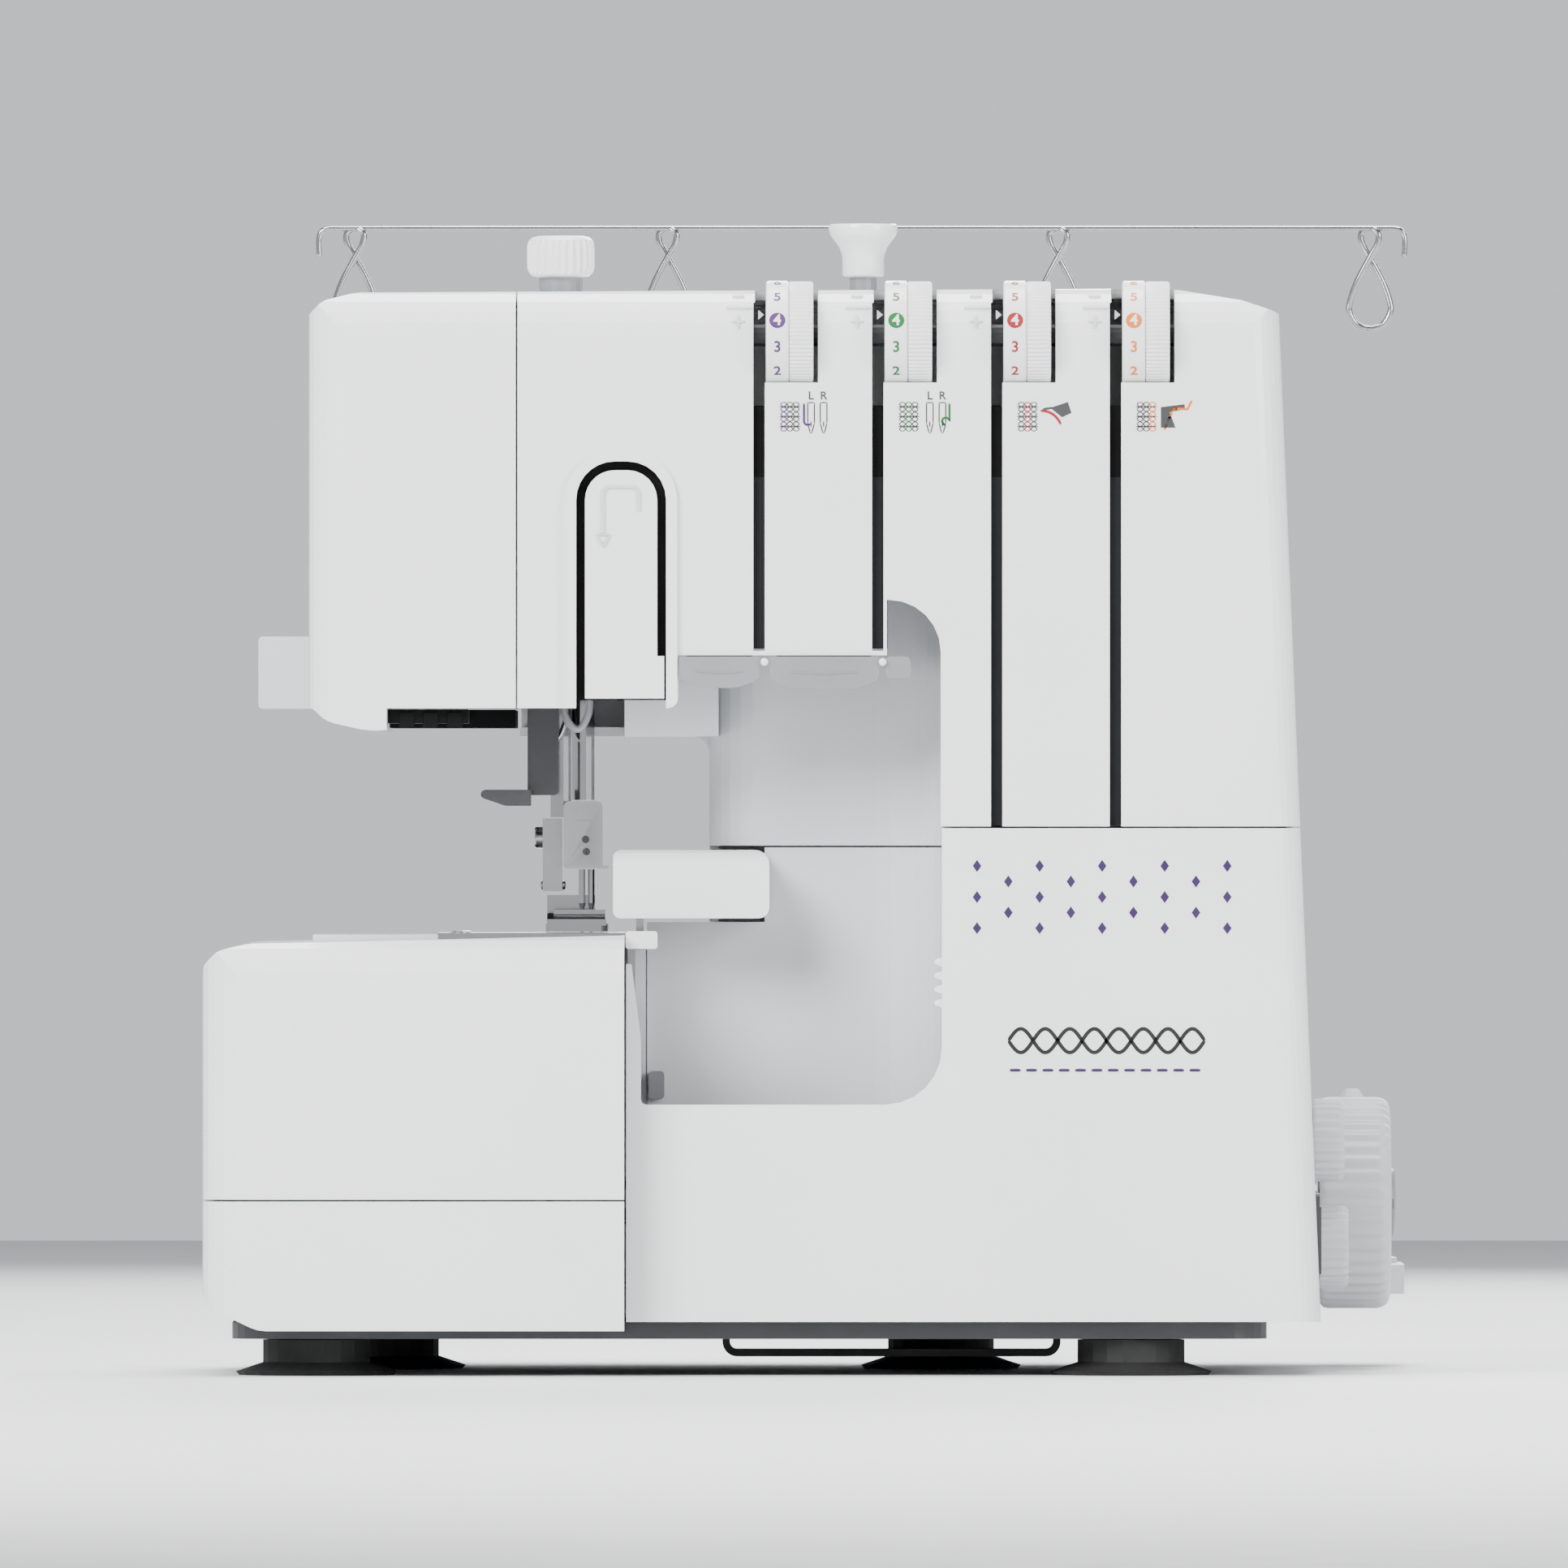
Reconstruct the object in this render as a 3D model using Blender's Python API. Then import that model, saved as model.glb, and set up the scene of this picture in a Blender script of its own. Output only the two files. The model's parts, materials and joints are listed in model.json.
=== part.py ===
"""Household four-thread serger overlock machine, in metres.

+X is to the operator's right, -Y towards the operator, +Z up. The origin is on the table, under the
middle of the machine. Every sub-part is one object, and moving parts have their origin on the joint's axis.
"""
import math

import bmesh
import bpy
from mathutils import Matrix, Vector

# ---- Driving dimensions -----------------------------------------------------------------------------
OVERALL_WIDTH = 0.3284      # left end of the cloth plate to the right end of the thread guide bar
CASING_HEIGHT = 0.2939      # top of the covers above the table
CASING_DEPTH = 0.180        # front cover to rear cover
STAND_DEPTH = 0.095         # spool stand behind the rear cover
BED_HEIGHT = 0.1196         # top of the needle plate
WALL = 0.0025               # moulded covers
SEAM = 0.0005               # visible gap between neighbouring covers
FIT = 0.0003                # clearance between pieces that touch
ARC_STEPS = 6               # straight pieces in a quarter turn of an outline
FAR = 0.05                  # how far a cutter runs past what it cuts

# ---- Places along X ---------------------------------------------------------------------------------
LEFT_END = -OVERALL_WIDTH / 2
RIGHT_END = OVERALL_WIDTH / 2
HEAD_LEFT = LEFT_END + 0.0286
HEAD_SEAM = HEAD_LEFT + 0.0562
NEEDLE_X = HEAD_SEAM + 0.0184
PRESSER_X = NEEDLE_X - 0.0068
CLOTH_RIGHT = NEEDLE_X + 0.0107
WINDOW_RIGHT = CLOTH_RIGHT + 0.0229
CASING_RIGHT = RIGHT_END - 0.0262   # at the foot of the covers
CASING_LEAN = 0.0415                # the right side leans in by this share of its height
BAY_RIGHT = CASING_RIGHT - 0.1028
MAST_X = RIGHT_END - 0.1496

# ---- Places along Y ---------------------------------------------------------------------------------
CASING_FRONT = -0.130
CASING_REAR = CASING_FRONT + CASING_DEPTH
COVER_SPLIT = CASING_FRONT + 0.110  # where front and rear covers meet
CLOTH_FRONT = CASING_FRONT - 0.015
BAY_FLOOR = CASING_FRONT + 0.045
NEEDLE_Y = CASING_FRONT + 0.060
PRESSER_Y = NEEDLE_Y + 0.012
STAND_REAR = CASING_REAR + STAND_DEPTH
MAST_Y = CASING_REAR + 0.013

# ---- Places along Z ---------------------------------------------------------------------------------
BASE_BOTTOM = 0.0099
BASE_TOP = 0.0143
COVER_FOOT = BASE_TOP + FIT
CLOTH_SEAM = 0.0475                 # between cloth plate and lower left cover
REAR_BED = BED_HEIGHT - 0.0008      # top of the base behind the cloth plate
HEAD_BOTTOM = CASING_HEIGHT - 0.1135
FACE_BOTTOM = HEAD_BOTTOM - 0.0059
ARM_BOTTOM = HEAD_BOTTOM - 0.0075
FRONT_SEAM = CASING_HEIGHT - 0.1454  # between front cover and looper cover
BAY_TOP = CASING_HEIGHT - 0.0842
BAY_BOTTOM = 0.0733
THROAT_SEAM = FRONT_SEAM - 0.0055

# ---- Thread slots and tension dials -----------------------------------------------------------------
DIAL_COUNT = 4
DIAL_RADIUS = 0.0149
DIAL_WIDTH = 0.0128
DIAL_PROUD = 0.0063                 # how far the dials stand out of the front cover
DIAL_Y = CASING_FRONT - DIAL_PROUD + DIAL_RADIUS
DIAL_Z = CASING_HEIGHT + 0.0022 - DIAL_RADIUS
DIAL_CLEARANCE = 0.0006
DIAL_SIDE_GAP = 0.0013              # dark gap at the right of each dial
SPINDLE_RADIUS = 0.003
SLOT_WIDTH = 0.0031
FIRST_SLOT = NEEDLE_X + 0.0471
LAST_SLOT = CASING_RIGHT - 0.0556
SLOT_PITCH = (LAST_SLOT - FIRST_SLOT) / (DIAL_COUNT - 1)
SLOT_TOP = CASING_HEIGHT - 0.0039
FLAP_BOTTOM = CASING_HEIGHT - 0.0992  # lower edge of the front cover over the throat

# ---- Round parts ------------------------------------------------------------------------------------
NEEDLE_BAR_RADIUS = 0.0032
PRESSER_BAR_RADIUS = 0.0029
NEEDLE_RADIUS = 0.001
NEEDLE_SPACING = 0.0025
STEM_RADIUS = 0.006
KNOB_RADIUS = 0.00915
MAST_INNER_RADIUS = 0.00375
TUBE_WALL = 0.0010
SHAFT_RADIUS = 0.006
SHAFT_Y = CASING_FRONT + 0.140
SHAFT_Z = 0.0455
BELT_WHEEL_RADIUS = 0.025
MOTOR_PULLEY_RADIUS = 0.0075
BELT_THICKNESS = 0.0015
HANDWHEEL_RADIUS = 0.029
MOTOR_RADIUS = 0.024
MOTOR_Y = CASING_FRONT + 0.072
MOTOR_Z = 0.050
WIRE_RADIUS = 0.001
BAR_RADIUS = 0.00075
BAR_Z = CASING_HEIGHT + 0.0188

COLOURS = {
    # name: (red, green, blue, roughness, metallic)
    "white_plastic": (0.88, 0.89, 0.90, 0.28, 0.0),
    "grey_plastic": (0.36, 0.38, 0.41, 0.45, 0.0),
    "pale_grey_plastic": (0.62, 0.65, 0.69, 0.45, 0.0),
    "dark_plastic": (0.045, 0.050, 0.056, 0.50, 0.0),
    "rubber": (0.015, 0.015, 0.016, 0.80, 0.0),
    "steel": (0.60, 0.61, 0.63, 0.28, 1.0),
    "chrome": (0.80, 0.80, 0.82, 0.10, 1.0),
    "cast_aluminium": (0.48, 0.49, 0.51, 0.50, 1.0),
    "painted_motor": (0.10, 0.10, 0.11, 0.50, 0.0),
}


# ---- Building blocks --------------------------------------------------------------------------------
def clear_scene():
    for item in list(bpy.data.objects):
        bpy.data.objects.remove(item, do_unlink=True)


def material(name):
    found = bpy.data.materials.get(name)
    if found:
        return found
    red, green, blue, roughness, metallic = COLOURS[name]
    made = bpy.data.materials.new(name)
    made.use_nodes = True
    shader = made.node_tree.nodes["Principled BSDF"]
    shader.inputs["Base Color"].default_value = (red, green, blue, 1.0)
    shader.inputs["Roughness"].default_value = roughness
    shader.inputs["Metallic"].default_value = metallic
    return made


def solid(bm):
    """A working object from a bmesh, with its faces pointing out"""
    bmesh.ops.recalc_face_normals(bm, faces=bm.faces[:])
    mesh = bpy.data.meshes.new("solid")
    bm.to_mesh(mesh)
    bm.free()
    made = bpy.data.objects.new("solid", mesh)
    bpy.context.scene.collection.objects.link(made)
    return made


def combine(body, tool, operation):
    """Apply one Boolean to body, and remove the tool"""
    modifier = body.modifiers.new("combine", "BOOLEAN")
    modifier.operation = operation
    modifier.solver = "EXACT"
    modifier.object = tool
    graph = bpy.context.evaluated_depsgraph_get()
    result = bpy.data.meshes.new_from_object(body.evaluated_get(graph))
    body.modifiers.clear()
    body.data = result
    bpy.data.objects.remove(tool, do_unlink=True)
    return body


def cut(body, *tools):
    for tool in tools:
        combine(body, tool, "DIFFERENCE")
    return body


def join(body, *tools):
    for tool in tools:
        combine(body, tool, "UNION")
    return body


def keep(body, *tools):
    for tool in tools:
        combine(body, tool, "INTERSECT")
    return body


def finish(name, body, colour, origin=(0.0, 0.0, 0.0), smooth_angle=35.0):
    """Name the object, clean its mesh, and put its origin at a joint's axis"""
    bm = bmesh.new()
    bm.from_mesh(body.data)
    bmesh.ops.remove_doubles(bm, verts=bm.verts[:], dist=0.000002)
    bmesh.ops.dissolve_degenerate(bm, edges=bm.edges[:], dist=0.000002)
    bmesh.ops.translate(bm, verts=bm.verts[:], vec=-Vector(origin))
    mesh = bpy.data.meshes.new(name)
    bm.to_mesh(mesh)
    bm.free()
    mesh.materials.append(material(colour))
    mesh.shade_smooth()
    mesh.set_sharp_from_angle(angle=math.radians(smooth_angle))
    body.data = mesh
    body.name = name
    body.location = origin
    return body


def rounded(corners, steps=ARC_STEPS):
    """Points of a closed outline given as (a, b, radius) corners, each rounded by an arc"""
    points = []
    for index, (a, b, radius) in enumerate(corners):
        corner = Vector((a, b))
        if radius == 0:
            points.append(corner)
            continue
        before = (Vector(corners[index - 1][:2]) - corner).normalized()
        after = (Vector(corners[(index + 1) % len(corners)][:2]) - corner).normalized()
        half = before.angle(after) / 2
        centre = corner + (before + after).normalized() * radius / math.sin(half)
        start = corner + before * radius / math.tan(half) - centre
        end = corner + after * radius / math.tan(half) - centre
        first = math.atan2(start.y, start.x)
        sweep = (math.atan2(end.y, end.x) - first + math.pi) % (2 * math.pi) - math.pi
        count = max(1, math.ceil(steps * abs(sweep) / (math.pi / 2)))
        for step in range(count + 1):
            angle = first + sweep * step / count
            points.append(centre + radius * Vector((math.cos(angle), math.sin(angle))))
    return points


def inset(corners, distance):
    """The same corners moved inwards by distance; the corners run anticlockwise"""
    moved = []
    for index, (a, b, radius) in enumerate(corners):
        corner = Vector((a, b))
        along_in = (corner - Vector(corners[index - 1][:2])).normalized()
        along_out = (Vector(corners[(index + 1) % len(corners)][:2]) - corner).normalized()
        normal_in = Vector((-along_in.y, along_in.x))
        normal_out = Vector((-along_out.y, along_out.x))
        middle = (normal_in + normal_out).normalized()
        point = corner + middle * distance / max(0.2, middle.dot(normal_in))
        convex = along_in.cross(along_out) > 0
        new_radius = radius - distance if convex else radius + distance
        moved.append((point.x, point.y, max(0.0, new_radius) if radius else 0.0))
    return moved


def place(axis, a, b, c):
    """A point of an outline (a, b) at height c along axis, in X, Y, Z order"""
    if axis == "x":
        return (c, a, b)
    if axis == "y":
        return (a, c, b)
    return (a, b, c)


def prism(points, axis, low, high):
    bm = bmesh.new()
    rings = []
    for height in (low, high):
        rings.append([bm.verts.new(place(axis, point[0], point[1], height)) for point in points])
    count = len(points)
    for index in range(count):
        other = (index + 1) % count
        bm.faces.new((rings[0][index], rings[0][other], rings[1][other], rings[1][index]))
    bm.faces.new(rings[0])
    bm.faces.new(rings[1])
    return solid(bm)


def box(x_low, x_high, y_low, y_high, z_low, z_high):
    outline = ((x_low, y_low), (x_high, y_low), (x_high, y_high), (x_low, y_high))
    return prism(outline, "z", z_low, z_high)


def slab(axis, a_low, a_high, b_low, b_high, low, high, radius):
    """A box whose four edges along axis are rounded"""
    corners = (
        (a_low, b_low, radius),
        (a_high, b_low, radius),
        (a_high, b_high, radius),
        (a_low, b_high, radius),
    )
    return prism(rounded(corners), axis, low, high)


def turned(profile, axis, centre, sides=16):
    """A solid of revolution: profile is (radius, height) from one end of the axis to the other"""
    bm = bmesh.new()
    rings = []
    for radius, height in profile:
        if radius == 0:
            rings.append([bm.verts.new(place(axis, centre[0], centre[1], height))])
            continue
        ring = []
        for side in range(sides):
            angle = 2 * math.pi * (side + 0.5) / sides
            a = centre[0] + radius * math.cos(angle)
            b = centre[1] + radius * math.sin(angle)
            ring.append(bm.verts.new(place(axis, a, b, height)))
        rings.append(ring)
    for lower, upper in zip(rings, rings[1:]):
        for side in range(sides):
            other = (side + 1) % sides
            if len(lower) == 1:
                bm.faces.new((lower[0], upper[side], upper[other]))
            elif len(upper) == 1:
                bm.faces.new((lower[side], lower[other], upper[0]))
            else:
                bm.faces.new((lower[side], lower[other], upper[other], upper[side]))
    if len(rings[0]) > 1:
        bm.faces.new(rings[0])
    if len(rings[-1]) > 1:
        bm.faces.new(rings[-1])
    return solid(bm)


def rod(axis, centre, radius, low, high, sides=16):
    return turned(((radius, low), (radius, high)), axis, centre, sides)


def fluted(axis, centre, radius, depth, flutes, low, high):
    """A short knob or dial with a grooved rim"""
    points = []
    for index in range(flutes * 2):
        angle = math.pi * index / flutes
        reach = radius if index % 2 == 0 else radius - depth
        points.append((centre[0] + reach * math.cos(angle), centre[1] + reach * math.sin(angle)))
    return prism(points, axis, low, high)


def smooth_path(points, steps):
    """A curve through all the points, with steps pieces between each two"""
    path = []
    last = len(points) - 1
    for index in range(last):
        before = points[max(index - 1, 0)]
        start = points[index]
        end = points[index + 1]
        after = points[min(index + 2, last)]
        for step in range(steps):
            t = step / steps
            path.append(0.5 * (
                2 * start
                + (end - before) * t
                + (2 * before - 5 * start + 4 * end - after) * t ** 2
                + (3 * start - before - 3 * end + after) * t ** 3
            ))
    path.append(points[last])
    return path


def wire(points, radius, sides=6):
    """A round wire along a path, with flat ends"""
    bm = bmesh.new()
    rings = []
    normal = Vector((0.0, 1.0, 0.0))
    for index, point in enumerate(points):
        ahead = points[min(index + 1, len(points) - 1)] - points[max(index - 1, 0)]
        tangent = ahead.normalized()
        normal = (normal - tangent * normal.dot(tangent)).normalized()
        side_way = tangent.cross(normal)
        ring = []
        for side in range(sides):
            angle = 2 * math.pi * side / sides
            ring.append(bm.verts.new(point + radius * (normal * math.cos(angle) + side_way * math.sin(angle))))
        rings.append(ring)
    for lower, upper in zip(rings, rings[1:]):
        for side in range(sides):
            other = (side + 1) % sides
            bm.faces.new((lower[side], lower[other], upper[other], upper[side]))
    bm.faces.new(rings[0])
    bm.faces.new(rings[-1])
    return solid(bm)


# ---- Casing envelope --------------------------------------------------------------------------------
def right_edge(height):
    return CASING_RIGHT - CASING_LEAN * (height - COVER_FOOT)


def casing_front_view():
    shoulder = CASING_HEIGHT - 0.0070
    return (
        (HEAD_LEFT - 0.001, -FAR, 0),
        (right_edge(-FAR) + 0.001, -FAR, 0),
        (right_edge(shoulder) + 0.001, shoulder, 0.004),
        (CASING_RIGHT - 0.0211, CASING_HEIGHT - 0.0033, 0.010),
        (CASING_RIGHT - 0.0409, CASING_HEIGHT, 0.030),
        (HEAD_LEFT + 0.0127, CASING_HEIGHT - 0.0011, 0.010),
        (HEAD_LEFT + 0.0036, CASING_HEIGHT - 0.0034, 0.006),
        (HEAD_LEFT - 0.001, CASING_HEIGHT - 0.0082, 0),
    )


def casing_side_view():
    return (
        (CASING_FRONT, -FAR, 0),
        (CASING_REAR, -FAR, 0),
        (CASING_REAR, CASING_HEIGHT + 0.0002, 0.012),
        (CASING_FRONT, CASING_HEIGHT + 0.0002, 0.013),
    )


def casing_top_view():
    return (
        (HEAD_LEFT, CASING_FRONT, 0.010),
        (right_edge(0), CASING_FRONT, 0.009),
        (right_edge(0), CASING_REAR, 0.010),
        (HEAD_LEFT, CASING_REAR, 0.010),
    )


def casing(thickness):
    """The outer form of the covers when thickness is 0, or their hollow"""
    body = prism(rounded(inset(casing_top_view(), thickness)), "z", -FAR, CASING_HEIGHT + FAR)
    for vertex in body.data.vertices:
        if vertex.co.x > 0:
            vertex.co.x -= CASING_LEAN * vertex.co.z
    front_view = prism(rounded(inset(casing_front_view(), thickness)), "y", CASING_FRONT - FAR, CASING_REAR + FAR)
    side_view = prism(rounded(inset(casing_side_view(), thickness)), "x", HEAD_LEFT - FAR, CASING_RIGHT + FAR)
    return keep(body, front_view, side_view)


def slot_left(index):
    return FIRST_SLOT + index * SLOT_PITCH - SLOT_WIDTH / 2


def dial_left(index):
    return slot_left(index) + SLOT_WIDTH


# ---- Covers -----------------------------------------------------------------------------------------
TONGUE_LEFT = NEEDLE_X + 0.0001
TONGUE_RIGHT = TONGUE_LEFT + 0.0195
TONGUE_TOP = CASING_HEIGHT - 0.0492
TONGUE_ARC = 0.008
TONGUE_SLOT = 0.0024                # dark slots each side of the tongue
SADDLE_RIM = 0.0030                 # raised frame round the tongue
SADDLE_HEIGHT = 0.0016
FLAP_LEFT = TONGUE_RIGHT + TONGUE_SLOT + SADDLE_RIM + 0.0003


def tongue_opening(margin):
    return rounded((
        (TONGUE_LEFT - margin, HEAD_BOTTOM + 0.0022 - margin, 0),
        (TONGUE_RIGHT + margin, HEAD_BOTTOM + 0.0022 - margin, 0),
        (TONGUE_RIGHT + margin, TONGUE_TOP + margin, TONGUE_ARC + margin),
        (TONGUE_LEFT - margin, TONGUE_TOP + margin, TONGUE_ARC + margin),
    ))


def slot_and_window(index):
    """Cutter for one thread slot and for the opening of its dial"""
    left = slot_left(index)
    over_throat = left < BAY_RIGHT
    bottom = FLAP_BOTTOM + 0.0012 if over_throat else FRONT_SEAM - FAR
    slot = box(left, left + SLOT_WIDTH, CASING_FRONT - FAR, CASING_FRONT + 0.016, bottom, SLOT_TOP)
    window_right = dial_left(index) + FIT + DIAL_WIDTH + DIAL_SIDE_GAP
    window = rod("x", (DIAL_Y, DIAL_Z), DIAL_RADIUS + DIAL_CLEARANCE, left + 0.0004, window_right, 32)
    return join(slot, window)


def front_cover():
    lower_edge = (
        (HEAD_SEAM + SEAM / 2, HEAD_BOTTOM, 0),
        (FLAP_LEFT, HEAD_BOTTOM, 0.003),
        (FLAP_LEFT, FLAP_BOTTOM, 0),
        (slot_left(1) + SLOT_WIDTH + 0.0009, FLAP_BOTTOM, 0),
        (slot_left(1) + SLOT_WIDTH + 0.0009, BAY_TOP, 0),
        (BAY_RIGHT, BAY_TOP, 0.014),
        (BAY_RIGHT, FRONT_SEAM, 0),
        (CASING_RIGHT + FAR, FRONT_SEAM, 0),
        (CASING_RIGHT + FAR, CASING_HEIGHT + FAR, 0),
        (HEAD_SEAM + SEAM / 2, CASING_HEIGHT + FAR, 0),
    )
    body = casing(0)
    rim = prism(tongue_opening(TONGUE_SLOT + SADDLE_RIM), "y", CASING_FRONT - SADDLE_HEIGHT, CASING_FRONT + WALL)
    join(body, rim)
    keep(body, prism(rounded(lower_edge), "y", CASING_FRONT - FAR, COVER_SPLIT - SEAM / 2))
    cut(body, casing(WALL))
    cut(body, prism(tongue_opening(TONGUE_SLOT), "y", CASING_FRONT - FAR, CASING_FRONT + 0.012))
    for index in range(DIAL_COUNT):
        cut(body, slot_and_window(index))
    cut(body, rod("z", (PRESSER_X, PRESSER_Y), STEM_RADIUS + FIT, CASING_HEIGHT - FAR, CASING_HEIGHT + FAR))
    return finish("front_cover", body, "white_plastic")


def rear_cover():
    """The back of head, tower and base, with the side wall that runs forward below the front seam"""
    outline = (
        (HEAD_LEFT, COVER_FOOT, 0),
        (CASING_RIGHT + FAR, COVER_FOOT, 0),
        (CASING_RIGHT + FAR, CASING_HEIGHT + FAR, 0),
        (HEAD_SEAM + SEAM / 2, CASING_HEIGHT + FAR, 0),
        (HEAD_SEAM + SEAM / 2, ARM_BOTTOM, 0),
        (WINDOW_RIGHT, ARM_BOTTOM, 0.0048),
        (WINDOW_RIGHT, REAR_BED, 0.0048),
        (HEAD_LEFT, REAR_BED, 0),
    )
    rear = COVER_SPLIT + SEAM / 2
    region = prism(rounded(outline), "y", rear, CASING_REAR + FAR)
    join(region, box(CASING_RIGHT - 0.03, CASING_RIGHT + FAR, CASING_FRONT + COVER_RETURN + SEAM, rear + 0.001,
                     COVER_FOOT, FRONT_SEAM - SEAM))
    body = keep(casing(0), region)
    join(body, keep(left_block(0), box(LEFT_END - FAR, CLOTH_RIGHT - 0.010, rear, CASING_REAR + FAR,
                                       COVER_FOOT, BED_HEIGHT + FAR)))
    hollow_outline = list(inset(outline, WALL))
    hollow_outline[0] = (hollow_outline[0][0], COVER_FOOT - FAR, 0)
    hollow_outline[1] = (hollow_outline[1][0], COVER_FOOT - FAR, 0)
    hollow_outline[3] = (HEAD_SEAM - FAR, CASING_HEIGHT + FAR, 0)
    hollow_outline[4] = (HEAD_SEAM - FAR, ARM_BOTTOM + WALL, 0)
    hollow = keep(casing(WALL), prism(rounded(hollow_outline), "y", CASING_FRONT - FAR, CASING_REAR + FAR))
    cut(body, hollow, left_block(WALL))
    cut(body, rod("x", (SHAFT_Y, SHAFT_Z), SHAFT_RADIUS + 2 * FIT, CASING_RIGHT - 0.03, CASING_RIGHT + FAR))
    for y, z in ((STITCH_DIAL_Y, STITCH_DIAL_Z), (FEED_DIAL_Y, FEED_DIAL_Z)):
        cut(body, rod("x", (y, z), DIAL_STEM_RADIUS + FIT, CASING_RIGHT - 0.03, CASING_RIGHT + FAR, 12))
    for y, width, height in ((SWITCH_Y, SWITCH_WIDTH, SWITCH_HEIGHT), (INLET_Y, INLET_WIDTH, INLET_HEIGHT)):
        cut(body, box(CASING_RIGHT - 0.03, CASING_RIGHT + FAR,
                      y - width / 2 - 2 * FIT, y + width / 2 + 2 * FIT,
                      SWITCH_Z - height / 2 - 2 * FIT, SWITCH_Z + height / 2 + 2 * FIT))
    cut(body, box(LEVER_PIVOT_X - 0.012, LEVER_PIVOT_X + 0.012, CASING_REAR - 0.01, CASING_REAR + FAR,
                  LEVER_PIVOT_Z - 0.009, LEVER_PIVOT_Z + 0.009))
    return finish("rear_cover", body, "white_plastic")


COVER_RETURN = 0.014                # side wall of the looper cover and of the front cover's foot


def face_cover():
    """The left end of the head, open to the right and below the needles"""
    notch_left = HEAD_LEFT + 0.0211
    outline = (
        (HEAD_LEFT - FAR, FACE_BOTTOM + 0.0070, 0),
        (HEAD_LEFT, FACE_BOTTOM + 0.0070, 0.006),
        (HEAD_LEFT + 0.0046, FACE_BOTTOM + 0.0024, 0.008),
        (HEAD_LEFT + 0.0149, FACE_BOTTOM, 0.010),
        (notch_left, FACE_BOTTOM, 0),
        (notch_left, HEAD_BOTTOM, 0),
        (HEAD_SEAM - SEAM / 2, HEAD_BOTTOM, 0),
        (HEAD_SEAM - SEAM / 2, CASING_HEIGHT + FAR, 0),
        (HEAD_LEFT - FAR, CASING_HEIGHT + FAR, 0),
    )
    body = keep(casing(0), prism(rounded(outline), "y", CASING_FRONT - FAR, CASING_REAR + FAR))
    hollow_outline = (
        (HEAD_LEFT + WALL, FACE_BOTTOM + 0.0070 + WALL, 0.004),
        (HEAD_LEFT + 0.0046, FACE_BOTTOM + 0.0024 + WALL, 0),
        (HEAD_LEFT + 0.0149, FACE_BOTTOM + WALL, 0),
        (notch_left - WALL, FACE_BOTTOM + WALL, 0),
        (notch_left - WALL, FACE_BOTTOM - FAR, 0),
        (HEAD_SEAM + FAR, FACE_BOTTOM - FAR, 0),
        (HEAD_SEAM + FAR, CASING_HEIGHT + FAR, 0),
        (HEAD_LEFT + WALL, CASING_HEIGHT + FAR, 0),
    )
    hollow = keep(casing(WALL), prism(rounded(hollow_outline), "y", CASING_FRONT - FAR, CASING_REAR + FAR))
    hollow_side = box(HEAD_SEAM - 0.02, HEAD_SEAM + FAR, CASING_FRONT + WALL, CASING_REAR - WALL,
                      FACE_BOTTOM - FAR, HEAD_BOTTOM + 0.01)
    cut(body, hollow, hollow_side)
    return finish("face_cover", body, "white_plastic")


LOOPER_COVER_SLIDE = 0.006
HINGE_ROD_RADIUS = 0.0012
HINGE_ROD_Y = CASING_FRONT + WALL + HINGE_ROD_RADIUS + 2 * FIT
HINGE_ROD_Z = COVER_FOOT + 0.0044
COVER_LEFT = CLOTH_RIGHT + SEAM


def looper_cover():
    """The L-shaped door in front of the loopers"""
    bay_edge = BAY_RIGHT + FIT
    outline = (
        (COVER_LEFT, COVER_FOOT, 0),
        (CASING_RIGHT + FAR, COVER_FOOT, 0),
        (CASING_RIGHT + FAR, FRONT_SEAM - SEAM, 0),
        (bay_edge, FRONT_SEAM - SEAM, 0),
        (bay_edge, BAY_BOTTOM, 0.0154),
        (COVER_LEFT + 0.0040, BAY_BOTTOM, 0.0015),
        (COVER_LEFT + 0.0040, BAY_BOTTOM + 0.0176, 0.010),
        (COVER_LEFT + 0.0014, BAY_BOTTOM + 0.0380, 0),
        (COVER_LEFT, BAY_BOTTOM + 0.0380, 0),
    )
    body = keep(casing(0), prism(rounded(outline), "y", CASING_FRONT - FAR, CASING_FRONT + COVER_RETURN))
    cut(body, casing(WALL))
    heel = box(CASING_RIGHT - 0.02, CASING_RIGHT + FAR, CASING_FRONT + COVER_RETURN - 0.0013, CASING_FRONT + FAR,
               -FAR, HINGE_ROD_Z + 0.001)
    cut(body, heel)
    for x in (COVER_LEFT + 0.030, CASING_RIGHT - 0.040):
        ear = box(x - 0.004, x + 0.004, CASING_FRONT + WALL - 0.0005, HINGE_ROD_Y + 0.0032,
                  HINGE_ROD_Z - 0.0032, HINGE_ROD_Z + 0.0040)
        join(body, ear)
        cut(body, rod("x", (HINGE_ROD_Y, HINGE_ROD_Z), HINGE_ROD_RADIUS + FIT, x - 0.006, x + 0.006, 12))
    return finish("looper_cover", body, "white_plastic", (COVER_LEFT, HINGE_ROD_Y, HINGE_ROD_Z))


def cover_hinge_rod():
    low = COVER_LEFT + 0.012
    high = CASING_RIGHT - 0.022
    body = rod("x", (HINGE_ROD_Y, HINGE_ROD_Z), HINGE_ROD_RADIUS, low, high, 12)
    return finish("cover_hinge_rod", body, "steel", (low, HINGE_ROD_Y, HINGE_ROD_Z))


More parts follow.
